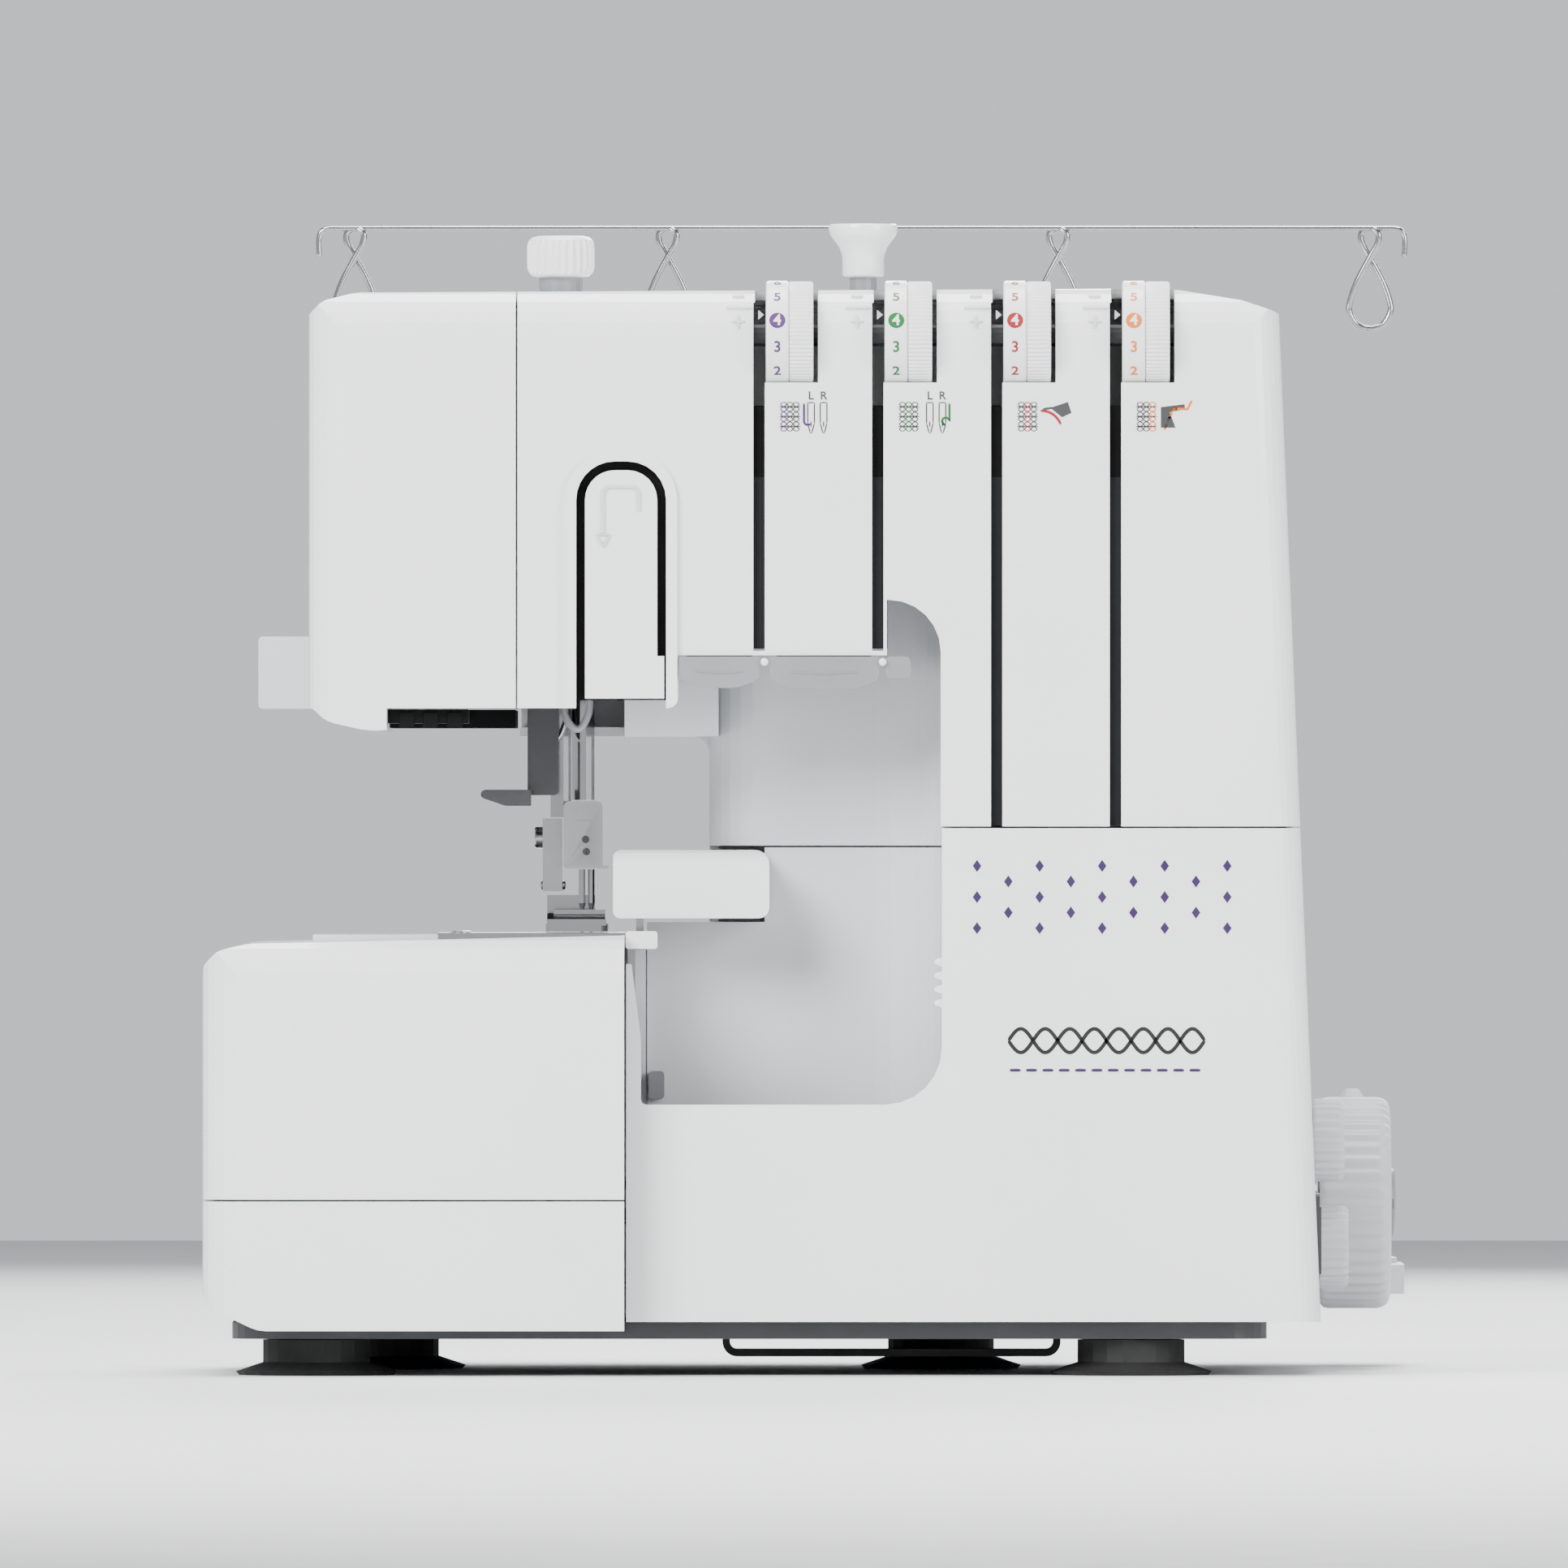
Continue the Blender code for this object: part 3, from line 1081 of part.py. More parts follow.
def presser_side():
    centre = (PRESSER_X, PRESSER_Y)
    bar = rod("z", centre, PRESSER_BAR_RADIUS, ANKLE_TOP + FIT, GUIDE_TOP + 0.014, 12)
    finish("presser_bar", bar, "chrome", (PRESSER_X, PRESSER_Y, ANKLE_TOP))
    ankle = box(PRESSER_X - 0.0049, PRESSER_X + 0.0004, PRESSER_Y - 0.005, PRESSER_Y + 0.005,
                FOOT_TOP + 0.0010, ANKLE_TOP)
    finish("presser_ankle", ankle, "steel", (PRESSER_X, PRESSER_Y, ANKLE_TOP))
    sole_top = FOOT_BOTTOM + 0.0022
    sole = slab("z", PRESSER_X - 0.0040, NEEDLE_X + 0.0062, NEEDLE_Y - 0.017, PRESSER_Y + 0.016,
                FOOT_BOTTOM, sole_top, 0.0025)
    toe = box(PRESSER_X - 0.0035, NEEDLE_X + 0.0057, NEEDLE_Y - 0.022, NEEDLE_Y - 0.012, sole_top - 0.0005,
              sole_top + 0.0012)
    block = box(PRESSER_X - 0.0037, NEEDLE_X + 0.0025, PRESSER_Y - 0.004, PRESSER_Y + 0.004, sole_top - 0.0005, FOOT_TOP)
    join(sole, toe, block)
    cut(sole, slab("z", NEEDLE_X - 0.0030, NEEDLE_X + 0.0034, NEEDLE_Y - 0.0035, NEEDLE_Y + 0.0035,
                   FOOT_BOTTOM - FAR, sole_top + FAR, 0.001))
    finish("presser_foot", sole, "chrome", (PRESSER_X, PRESSER_Y, FOOT_TOP))


LEVER_PIVOT_X = HEAD_SEAM + 0.012
LEVER_PIVOT_Z = ARM_LOW + 0.0085
LEVER_AXLE_RADIUS = 0.003
LEVER_FRONT = CASING_REAR + 0.0015
LEVER_PAD_LEFT = HEAD_LEFT - 0.0157


def presser_lever():
    """Lifter behind the head, with its pad reaching past the left end"""
    pad_low = HEAD_BOTTOM + 0.0002
    body = slab("y", LEVER_PAD_LEFT, HEAD_LEFT + 0.012, pad_low, pad_low + 0.0198,
                LEVER_FRONT, LEVER_FRONT + 0.014, 0.0012)
    arm = (
        (HEAD_LEFT + 0.010, pad_low + 0.0040),
        (LEVER_PIVOT_X, LEVER_PIVOT_Z - 0.0070),
        (LEVER_PIVOT_X, LEVER_PIVOT_Z + 0.0070),
        (HEAD_LEFT + 0.010, pad_low + 0.0158),
    )
    join(body, prism(arm, "y", LEVER_FRONT + 0.001, LEVER_FRONT + 0.006))
    pivot = (LEVER_PIVOT_X, LEVER_PIVOT_Z)
    join(body, rod("y", pivot, 0.0075, CASING_REAR - 0.004, LEVER_FRONT + 0.0065, 16))
    join(body, rod("y", pivot, LEVER_AXLE_RADIUS, FRAME_Y_HIGH - 0.012, CASING_REAR - 0.003, 12))
    return finish("presser_lever", body, "pale_grey_plastic", (LEVER_PIVOT_X, LEVER_FRONT, LEVER_PIVOT_Z))


THREADER_TRAVEL = 0.010


def needle_threader():
    low = BED_HEIGHT + 0.0373
    left = PRESSER_X - 0.0089
    y_low = NEEDLE_Y - 0.016
    y_high = NEEDLE_Y - 0.0105
    corners = (
        (left, low, 0.001),
        (PRESSER_X - 0.0005, low, 0.001),
        (PRESSER_X - 0.0005, GUIDE_LOW + 0.050, 0.001),
        (left, GUIDE_LOW + 0.050, 0.001),
    )
    body = prism(rounded(corners, 2), "y", y_low, y_high)
    tab = (
        (left - 0.0127, low - 0.0006, 0.0012),
        (left - 0.0060, low - 0.0029, 0.002),
        (left + 0.0010, low - 0.0029, 0),
        (left + 0.0010, low + 0.0015, 0),
        (left - 0.0127, low + 0.0015, 0.0012),
    )
    join(body, prism(rounded(tab, 2), "y", y_low - 0.004, y_high - 0.001))
    return finish("needle_threader", body, "grey_plastic", (PRESSER_X, y_low, low))


# ---- Plate, feed, loopers and knives ----------------------------------------------------------------
FEED_LEFT = NEEDLE_X - 0.0075
FEED_WIDTH = 0.0022
FEED_PITCH = 0.0040
FEED_LENGTH = 0.016
FEED_Y = PRESSER_Y - 0.004
FEED_TRAVEL = 0.002


def needle_plate():
    rear = COVER_SPLIT - SEAM
    body = box(PLATE_LEFT, CLOTH_RIGHT, PLATE_FRONT, rear, BED_HEIGHT - PLATE_THICKNESS, BED_HEIGHT)
    cut(body, slab("z", NEEDLE_X - 0.0030, NEEDLE_X + 0.0034, NEEDLE_Y - 0.0022, NEEDLE_Y + 0.0022,
                   BED_HEIGHT - FAR, BED_HEIGHT + FAR, 0.001))
    for row in range(2):
        left = FEED_LEFT + row * FEED_PITCH
        cut(body, box(left - 2 * FIT, left + FEED_WIDTH + 2 * FIT, FEED_Y - FEED_TRAVEL - 2 * FIT,
                      FEED_Y + FEED_LENGTH + FEED_TRAVEL + 2 * FIT, BED_HEIGHT - FAR, BED_HEIGHT + FAR))
    return finish("needle_plate", body, "chrome")


def feed_dog():
    """Two toothed rows on a bar under the needle plate"""
    under = BED_HEIGHT - PLATE_THICKNESS - 0.0010
    body = box(FEED_LEFT - 0.001, FEED_LEFT + FEED_PITCH + FEED_WIDTH + 0.001, FEED_Y, FEED_Y + FEED_LENGTH,
               under - 0.005, under)
    teeth = 8
    pitch = FEED_LENGTH / teeth
    for row in range(2):
        left = FEED_LEFT + row * FEED_PITCH
        outline = [(FEED_Y, under - 0.001), (FEED_Y + FEED_LENGTH, under - 0.001)]
        for tooth in reversed(range(teeth)):
            start = FEED_Y + tooth * pitch
            outline.append((start + pitch, BED_HEIGHT - 0.0003))
            outline.append((start + pitch * 0.3, BED_HEIGHT - 0.0011))
        join(body, prism(outline, "x", left, left + FEED_WIDTH))
    return finish("feed_dog", body, "steel", (FEED_LEFT, FEED_Y, under))


LOWER_PIVOT_X = NEEDLE_X - 0.029
LOWER_PIVOT_Z = BED_HEIGHT - 0.058
LOOPER_AXLE_RADIUS = 0.003
LOWER_LOOPER_Y = NEEDLE_Y + 0.0030
UPPER_LOOPER_Y = NEEDLE_Y - 0.0085


def lower_looper():
    """Hooked blade under the needles, on an arm that swings about an axle along Y"""
    top = BED_HEIGHT - 0.0135
    tip = NEEDLE_X - 0.0055
    outline = (
        (LOWER_PIVOT_X - 0.004, LOWER_PIVOT_Z, 0),
        (LOWER_PIVOT_X + 0.004, LOWER_PIVOT_Z, 0),
        (LOWER_PIVOT_X + 0.006, top - 0.004, 0.004),
        (tip - 0.002, top - 0.0025, 0),
        (tip, top - 0.0005, 0),
        (tip - 0.004, top, 0),
        (LOWER_PIVOT_X + 0.001, top, 0.004),
    )
    body = prism(rounded(outline), "y", LOWER_LOOPER_Y, LOWER_LOOPER_Y + 0.0024)
    pivot = (LOWER_PIVOT_X, LOWER_PIVOT_Z)
    join(body, rod("y", pivot, 0.0065, LOWER_LOOPER_Y - 0.001, LOWER_LOOPER_Y + 0.012, 12))
    join(body, rod("y", pivot, LOOPER_AXLE_RADIUS, LOWER_LOOPER_Y + 0.011, FRAME_Y_LOW + 0.009, 12))
    return finish("lower_looper", body, "chrome", (LOWER_PIVOT_X, LOWER_LOOPER_Y, LOWER_PIVOT_Z))


UPPER_TRAVEL = 0.014


def upper_looper():
    """Blade to the right of the plate that rises to the left on a slanting rod"""
    top_x = NEEDLE_X + 0.0225
    top_z = BED_HEIGHT - 0.0150
    lean_x = 0.5
    lean_z = math.sqrt(1 - lean_x ** 2)
    blade = 0.018
    elbow = Vector((top_x + blade * lean_x, UPPER_LOOPER_Y, top_z - blade * lean_z))
    points = [
        Vector((top_x, UPPER_LOOPER_Y, top_z)),
        elbow,
        elbow - Vector((0.0, 0.0, 0.025)),
    ]
    body = wire(points, 0.0014, 8)
    join(body, box(elbow.x - 0.0045, elbow.x + 0.0020, UPPER_LOOPER_Y - 0.0030, UPPER_LOOPER_Y + 0.0060,
                   elbow.z - 0.034, elbow.z - 0.022))
    return finish("upper_looper", body, "chrome", tuple(points[0]))


KNIFE_THICKNESS = 0.0020
KNIFE_TRAVEL = 0.005


def knives():
    front = BAY_FLOOR - 0.0150
    rear = BAY_FLOOR - FIT - 0.0020
    left = CLOTH_RIGHT + 0.0008
    lower = box(left, left + KNIFE_THICKNESS, front + 0.003, rear, BED_HEIGHT - 0.018, BED_HEIGHT - 0.0003)
    finish("lower_knife", lower, "steel", (left, front, BED_HEIGHT))
    upper_left = left + KNIFE_THICKNESS + FIT
    arm_z = KNIFE_COVER_TOP - WALL - KNIFE_TRAVEL - 0.0062
    upper = box(upper_left, upper_left + KNIFE_THICKNESS, front, rear, BED_HEIGHT - 0.0015, arm_z + 0.0050)
    join(upper, box(upper_left, KNIFE_COVER_RIGHT - WALL - 0.004, front + 0.001, front + 0.008, arm_z, arm_z + 0.0052))
    finish("upper_knife", upper, "steel", (upper_left, front, arm_z))


def hem_lever():
    left = CLOTH_RIGHT + 0.0003
    low = BED_HEIGHT - 0.0043
    body = slab("y", left, left + 0.0086, low, low + 0.0048, KNIFE_COVER_FRONT + 0.001, BAY_FLOOR - 0.0160, 0.0008)
    return finish("hem_lever", body, "white_plastic", (left, KNIFE_COVER_FRONT, low))


def looper_thread_guide():
    left = COVER_LEFT + 0.0060
    low = BAY_BOTTOM + 0.0013
    body = slab("y", left, left + 0.0042, low, low + 0.0075, BAY_FLOOR - 0.012, BAY_FLOOR - FIT, 0.0010)
    return finish("looper_thread_guide", body, "grey_plastic")


# ---- Drive ------------------------------------------------------------------------------------------
BELT_X = RIGHT_BRACKET + BRACKET_WIDTH + 0.0040
BELT_WIDTH = 0.0060


def main_shaft():
    """Shaft through both brackets with the belt wheel pressed on it"""
    body = rod("x", (SHAFT_Y, SHAFT_Z), SHAFT_RADIUS, LEFT_BRACKET - 0.004, CASING_RIGHT + 0.0004, 16)
    wheel = rod("x", (SHAFT_Y, SHAFT_Z), BELT_WHEEL_RADIUS, BELT_X, BELT_X + BELT_WIDTH, 32)
    join(body, wheel)
    return finish("main_shaft", body, "steel", (BELT_X, SHAFT_Y, SHAFT_Z))


def handwheel():
    low = CASING_RIGHT + 0.0010
    body = fluted("x", (SHAFT_Y, SHAFT_Z), HANDWHEEL_RADIUS, 0.0008, 30, low + 0.003, low + 0.0180)
    join(body, rod("x", (SHAFT_Y, SHAFT_Z), HANDWHEEL_RADIUS - 0.012, low, low + 0.0200, 20))
    return finish("handwheel", body, "pale_grey_plastic", (low, SHAFT_Y, SHAFT_Z))


def tangent_outline(radius_one, radius_two, steps):
    """Outline of a band round two circles, the shaft's and the motor's"""
    one = Vector((SHAFT_Y, SHAFT_Z))
    two = Vector((MOTOR_Y, MOTOR_Z))
    along = two - one
    base = math.atan2(along.y, along.x)
    spread = math.acos((radius_one - radius_two) / along.length)
    points = []
    for step in range(steps + 1):
        angle = base + spread + (2 * math.pi - 2 * spread) * step / steps
        points.append(one + radius_one * Vector((math.cos(angle), math.sin(angle))))
    for step in range(steps + 1):
        angle = base - spread + 2 * spread * step / steps
        points.append(two + radius_two * Vector((math.cos(angle), math.sin(angle))))
    return points


def belt():
    clear = 2 * FIT
    body = prism(tangent_outline(BELT_WHEEL_RADIUS + clear + BELT_THICKNESS,
                                 MOTOR_PULLEY_RADIUS + clear + BELT_THICKNESS, 16),
                 "x", BELT_X + 0.0005, BELT_X + BELT_WIDTH - 0.0005)
    cut(body, prism(tangent_outline(BELT_WHEEL_RADIUS + clear, MOTOR_PULLEY_RADIUS + clear, 16),
                    "x", BELT_X - FAR, BELT_X + FAR))
    return finish("drive_belt", body, "rubber")


def motor():
    high = BELT_X - 0.010
    low = high - 0.060
    body = rod("x", (MOTOR_Y, MOTOR_Z), MOTOR_RADIUS, low, high, 20)
    cut(body, rod("x", (MOTOR_Y, MOTOR_Z), 0.0030 + FIT, high - 0.010, high + FAR, 12))
    foot_top = MOTOR_Z - MOTOR_RADIUS * 0.8
    join(body, box(low + 0.006, high - 0.006, MOTOR_Y - 0.018, MOTOR_Y + 0.018, BASE_TOP + FIT, foot_top))
    finish("motor", body, "painted_motor")
    pulley = rod("x", (MOTOR_Y, MOTOR_Z), MOTOR_PULLEY_RADIUS, BELT_X, BELT_X + BELT_WIDTH, 16)
    join(pulley, rod("x", (MOTOR_Y, MOTOR_Z), 0.0030, high - 0.009, BELT_X + 0.001, 12))
    finish("motor_pulley", pulley, "steel", (BELT_X, MOTOR_Y, MOTOR_Z))


# ---- Controls on the right side ---------------------------------------------------------------------
DIAL_STEM_RADIUS = 0.003
SIDE_DIAL_RADIUS = 0.0115
STITCH_DIAL_Y = SHAFT_Y - 0.050
STITCH_DIAL_Z = 0.0630
FEED_DIAL_Y = SHAFT_Y - 0.050
FEED_DIAL_Z = 0.0340
SWITCH_Y = CASING_FRONT + 0.060
SWITCH_Z = 0.0360
SWITCH_WIDTH = 0.012
SWITCH_HEIGHT = 0.020
INLET_Y = CASING_FRONT + 0.036
INLET_WIDTH = 0.018
INLET_HEIGHT = 0.026


def side_dial(name, y, z):
    face = right_edge(z - SIDE_DIAL_RADIUS) + FIT
    body = fluted("x", (y, z), SIDE_DIAL_RADIUS, 0.0007, 18, face, face + 0.0085)
    join(body, rod("x", (y, z), DIAL_STEM_RADIUS, face - WALL - 0.006, face + 0.001, 12))
    finish(name, body, "pale_grey_plastic", (face, y, z))


def power_controls():
    face = right_edge(SWITCH_Z)
    rocker = box(face - 0.0060, face + 0.0016, SWITCH_Y - SWITCH_WIDTH / 2 + FIT, SWITCH_Y + SWITCH_WIDTH / 2 - FIT,
                 SWITCH_Z - SWITCH_HEIGHT / 2 + 3 * FIT, SWITCH_Z + SWITCH_HEIGHT / 2 - 3 * FIT)
    finish("power_switch", rocker, "dark_plastic", (face - 0.0022, SWITCH_Y, SWITCH_Z))
    inlet = slab("x", INLET_Y - INLET_WIDTH / 2, INLET_Y + INLET_WIDTH / 2, SWITCH_Z - INLET_HEIGHT / 2,
                 SWITCH_Z + INLET_HEIGHT / 2, face - 0.0100, face + 0.0008, 0.0015)
    cut(inlet, slab("x", INLET_Y - 0.0055, INLET_Y + 0.0055, SWITCH_Z - 0.0090, SWITCH_Z + 0.0090,
                    face - 0.0080, face + FAR, 0.0015))
    finish("power_inlet", inlet, "dark_plastic")


def main():
    clear_scene()
    front_cover()
    rear_cover()
    face_cover()
    looper_cover()
    cover_hinge_rod()
    cloth_plate()
    base_left_cover()
    upper_throat_wall()
    lower_throat_wall()
    knife_cover()
    takeup_cover()
    base_plate()
    feet()
    under_rail()
    cast_frame()
    tension_frame()
    tension_dials()
    guide_plates()
    pressure_regulator()
    mast()
    guide_bar()
    spool_stand()
    needle_side()
    presser_side()
    presser_lever()
    needle_threader()
    needle_plate()
    feed_dog()
    lower_looper()
    upper_looper()
    knives()
    hem_lever()
    looper_thread_guide()
    main_shaft()
    handwheel()
    belt()
    motor()
    side_dial("stitch_length_dial", STITCH_DIAL_Y, STITCH_DIAL_Z)
    side_dial("differential_dial", FEED_DIAL_Y, FEED_DIAL_Z)
    power_controls()


main()
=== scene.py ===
import json
import math

import bmesh
import bpy
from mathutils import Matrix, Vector
from mathutils.bvhtree import BVHTree

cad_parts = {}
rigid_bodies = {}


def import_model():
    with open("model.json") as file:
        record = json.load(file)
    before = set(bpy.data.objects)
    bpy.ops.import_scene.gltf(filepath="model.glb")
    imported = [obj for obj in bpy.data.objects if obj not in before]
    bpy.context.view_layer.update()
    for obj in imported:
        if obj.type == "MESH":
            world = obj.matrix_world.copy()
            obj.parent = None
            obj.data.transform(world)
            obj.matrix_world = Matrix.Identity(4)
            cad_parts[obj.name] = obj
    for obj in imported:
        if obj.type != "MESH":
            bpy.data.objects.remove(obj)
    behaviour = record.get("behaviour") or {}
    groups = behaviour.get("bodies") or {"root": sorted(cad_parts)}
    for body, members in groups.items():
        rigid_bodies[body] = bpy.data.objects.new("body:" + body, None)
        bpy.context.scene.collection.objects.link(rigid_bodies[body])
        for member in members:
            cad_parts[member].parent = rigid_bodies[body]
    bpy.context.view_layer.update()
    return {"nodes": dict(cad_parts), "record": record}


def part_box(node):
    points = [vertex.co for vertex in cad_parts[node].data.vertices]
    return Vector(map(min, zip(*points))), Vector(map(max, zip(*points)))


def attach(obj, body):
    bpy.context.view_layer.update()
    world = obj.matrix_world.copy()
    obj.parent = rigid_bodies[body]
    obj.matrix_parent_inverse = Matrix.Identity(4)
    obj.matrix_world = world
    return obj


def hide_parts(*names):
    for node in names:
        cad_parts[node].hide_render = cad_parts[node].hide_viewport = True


for item in list(bpy.data.objects):
    bpy.data.objects.remove(item, do_unlink=True)

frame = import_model()
NODES = frame["nodes"]

# ---- Sizes, in metres ----
PRINT_HEIGHT = 0.00004      # printed marks stand this far off the surface
SINK = 0.0001               # the underside of a mark lies this deep in the surface
EMBOSS_HEIGHT = 0.0006
DIAL_COUNT = 4
RIB_COUNT = 80              # ridges round a tension dial
NUMBER_STEP = 28.4          # degrees between two dial numbers
SHOWN_NUMBER = 4
SHOWN_ANGLE = 15.5          # degrees above the front where that number stands
DIGIT_SIZE = 0.0030 * 1.4
NUMBER_BAND = 0.0062        # smooth part of a dial's width
NUMBER_HEIGHT = 0.00006     # ink of the dial numbers above the band
SETTING_RADIUS = 0.0022     # coloured disc behind the shown number
SLOT_WIDTH = 0.0031
DIAL_GAP = 0.0003
WHEEL_WIDTHS = {"handwheel": 0.0200, "stitch_length_dial": 0.0085, "differential_dial": 0.0085}
THREAD_COLOURS = (
    (0.070, 0.012, 0.130, 1.0),
    (0.001, 0.135, 0.020, 1.0),
    (0.300, 0.002, 0.010, 1.0),
    (0.700, 0.160, 0.004, 1.0),
)
VIOLET = (0.028, 0.006, 0.070, 1.0)
SMALL_EDGE = 0.00025        # rounding of the corners of a node without a width of its own
FLOOR_RADIUS = 3.4
CAMERA_DISTANCE = 12.0      # from the middle plane of the machine
FRONT_DEPTH = 0.09          # the plane that fills the view lies this far before the middle
VIEW_WIDTH = 0.42504        # how much of that plane is seen
VIEW_X = -0.00715
VIEW_Z = 0.15994


# ---- Materials ----
def add(tree, kind, **values):
    """A new node; an underscore in the name of a value stands for a space"""
    made = tree.nodes.new(kind)
    for name, value in values.items():
        made.inputs[name.replace("_", " ")].default_value = value
    return made


def noise(tree, coordinates, scale, detail=3.0, stretch=(1.0, 1.0, 1.0)):
    """Noise in object space; scale is in cells per metre"""
    mapping = add(tree, "ShaderNodeMapping", Scale=stretch)
    tree.links.new(coordinates, mapping.inputs["Vector"])
    made = add(tree, "ShaderNodeTexNoise", Scale=scale, Detail=detail)
    tree.links.new(mapping.outputs["Vector"], made.inputs["Vector"])
    return made.outputs["Fac"]


def spread(tree, source, low, high):
    """Noise, which mostly lies between 0.3 and 0.7, spread over low to high"""
    made = add(tree, "ShaderNodeMapRange", From_Min=0.3, From_Max=0.7, To_Min=low, To_Max=high)
    tree.links.new(source, made.inputs["Value"])
    return made.outputs["Result"]


def shaded(name, colour, tint, roughness, grain, depth, metallic=0.0, coat=0.0,
           stretch=(1.0, 1.0, 1.0), edge=None, specular=0.5):
    """A material with mottled colour, uneven gloss and a fine surface grain.

    tint is the colour of the darker patches, roughness a (low, high) pair, grain the cells per metre of
    the surface texture and depth its height. edge is a colour that worn or thin edges take."""
    made = bpy.data.materials.new(name)
    made.use_nodes = True
    tree = made.node_tree
    shader = tree.nodes["Principled BSDF"]
    shader.inputs["Metallic"].default_value = metallic
    shader.inputs["Coat Weight"].default_value = coat
    shader.inputs["Coat Roughness"].default_value = 0.08
    shader.inputs["Specular IOR Level"].default_value = specular
    place = tree.nodes.new("ShaderNodeTexCoord").outputs["Object"]
    patches = spread(tree, noise(tree, place, 22.0), 0.0, 1.0)
    blend = tree.nodes.new("ShaderNodeMix")
    blend.data_type = "RGBA"
    blend.inputs["A"].default_value = tint
    blend.inputs["B"].default_value = colour
    tree.links.new(patches, blend.inputs["Factor"])
    shown = blend.outputs["Result"]
    if edge:
        rim = add(tree, "ShaderNodeMapRange", From_Min=0.52, From_Max=0.62, To_Max=0.6)
        geometry = tree.nodes.new("ShaderNodeNewGeometry")
        tree.links.new(geometry.outputs["Pointiness"], rim.inputs["Value"])
        worn = tree.nodes.new("ShaderNodeMix")
        worn.data_type = "RGBA"
        worn.inputs["B"].default_value = edge
        tree.links.new(rim.outputs["Result"], worn.inputs["Factor"])
        tree.links.new(shown, worn.inputs["A"])
        shown = worn.outputs["Result"]
    tree.links.new(shown, shader.inputs["Base Color"])
    gloss = spread(tree, noise(tree, place, 60.0, 4.0, stretch), *roughness)
    tree.links.new(gloss, shader.inputs["Roughness"])
    if not depth:
        return made
    bump = add(tree, "ShaderNodeBump", Distance=depth, Strength=1.0)
    tree.links.new(noise(tree, place, grain, 2.0, stretch), bump.inputs["Height"])
    tree.links.new(bump.outputs["Normal"], shader.inputs["Normal"])
    return made


def grey(value, blue=0.0):
    return (value, value * (1.0 + blue / 2), value * (1.0 + blue), 1.0)


WHITE = shaded("gloss_white", grey(0.83, 0.015), grey(0.80, 0.02), (0.16, 0.22), 900.0, 0.000006, coat=0.35)
# A greyer copy of the casing white for the raised signs: painted shade that stands for the soft shadow lines
# round them
SHADED_SIGN_WHITE = shaded("sign_white_painted_shade", grey(0.62, 0.02), grey(0.58, 0.02), (0.22, 0.30), 900.0, 0.000006)
LEVER = shaded("lever_plastic", grey(0.60, 0.04), grey(0.56, 0.04), (0.30, 0.38), 2000.0, 0.000010)
# A darker copy of the gloss white for the walls of the recess under the arm: painted shade of that concave
# bay
SHADED_RECESS_WHITE = shaded("recess_white_painted_shade", grey(0.66, 0.05), grey(0.63, 0.06), (0.34, 0.42), 1400.0, 0.000012)
BUTTON_WHITE = shaded("button_white", grey(0.84), grey(0.80), (0.28, 0.36), 1600.0, 0.000008, coat=0.1)
GREY = shaded("grey_plastic_grain", grey(0.215, 0.08), grey(0.190, 0.08), (0.38, 0.48), 2600.0, 0.000018)
PALE_GREY = shaded("pale_grey_grain", grey(0.50, 0.07), grey(0.46, 0.07), (0.36, 0.46), 2600.0, 0.000016)
STEM_GREY = shaded("stem_grey", grey(0.20, 0.10), grey(0.17, 0.10), (0.30, 0.40), 2600.0, 0.000010)
DARK = shaded("dark_plastic_grain", grey(0.028, 0.12), grey(0.020, 0.12), (0.40, 0.54), 3000.0, 0.000025,
              edge=grey(0.06, 0.1))
# Near-black for the sheets of painted shade in the thread slots, behind the tongue, inside the head and in
# the air vents; also the black block low at the back of the presser foot
BLACK_AND_SHADE = shaded("black_and_painted_shade", grey(0.0020), grey(0.0012), (0.55, 0.70), 2200.0, 0.000020, specular=0.12)
# Slate for the lower strips in the thread slots: painted shade of the slot depth, less dark than the black
# above
SLOT = shaded("slot_slate_painted_shade", grey(0.0085, 0.3), grey(0.0060, 0.3), (0.45, 0.60), 2200.0, 0.000020,
              specular=0.2)
RUBBER = shaded("foot_rubber", grey(0.014), grey(0.008), (0.62, 0.82), 3400.0, 0.000040)
STEEL = shaded("ground_steel", grey(0.36, 0.02), grey(0.30, 0.02), (0.22, 0.34), 1800.0, 0.000004,
               metallic=1.0, stretch=(1.0, 1.0, 0.08), edge=grey(0.50))
WIRE = shaded("polished_wire", grey(0.40, 0.01), grey(0.36, 0.01), (0.12, 0.20), 1500.0, 0.000002,
              metallic=1.0)
CHROME = shaded("chrome_plate", grey(0.50, 0.01), grey(0.45, 0.01), (0.06, 0.12), 900.0, 0.000002,
                metallic=1.0)
PLATE = shaded("brushed_plate", grey(0.42), grey(0.37), (0.20, 0.32), 2600.0, 0.000004,
               metallic=1.0, stretch=(0.05, 1.0, 1.0))
CAST = shaded("cast_metal", grey(0.40, 0.03), grey(0.33, 0.03), (0.45, 0.62), 1300.0, 0.000090,
              metallic=1.0, edge=grey(0.55))
MOTOR = shaded("motor_enamel", grey(0.045), grey(0.035), (0.35, 0.50), 1500.0, 0.000030, edge=grey(0.10))
BELT = shaded("belt_rubber", grey(0.020), grey(0.012), (0.60, 0.80), 4200.0, 0.000050)


def ink(name, colour, share):
    """Printing ink; the darker patches have this share of its colour"""
    tint = tuple(share * value for value in colour[:3]) + (1.0,)
    return shaded(name, colour, tint, (0.35, 0.50), 2600.0, 0.000002)


INK = ink("ink_black", grey(0.004), 0.75)
INK_GREY = ink("ink_grey", grey(0.045, 0.05), 0.80)
INK_VIOLET = ink("ink_violet", VIOLET, 0.85)
INK_THREAD = [ink("ink_thread_%d" % (index + 1), colour, 0.88) for index, colour in enumerate(THREAD_COLOURS)]

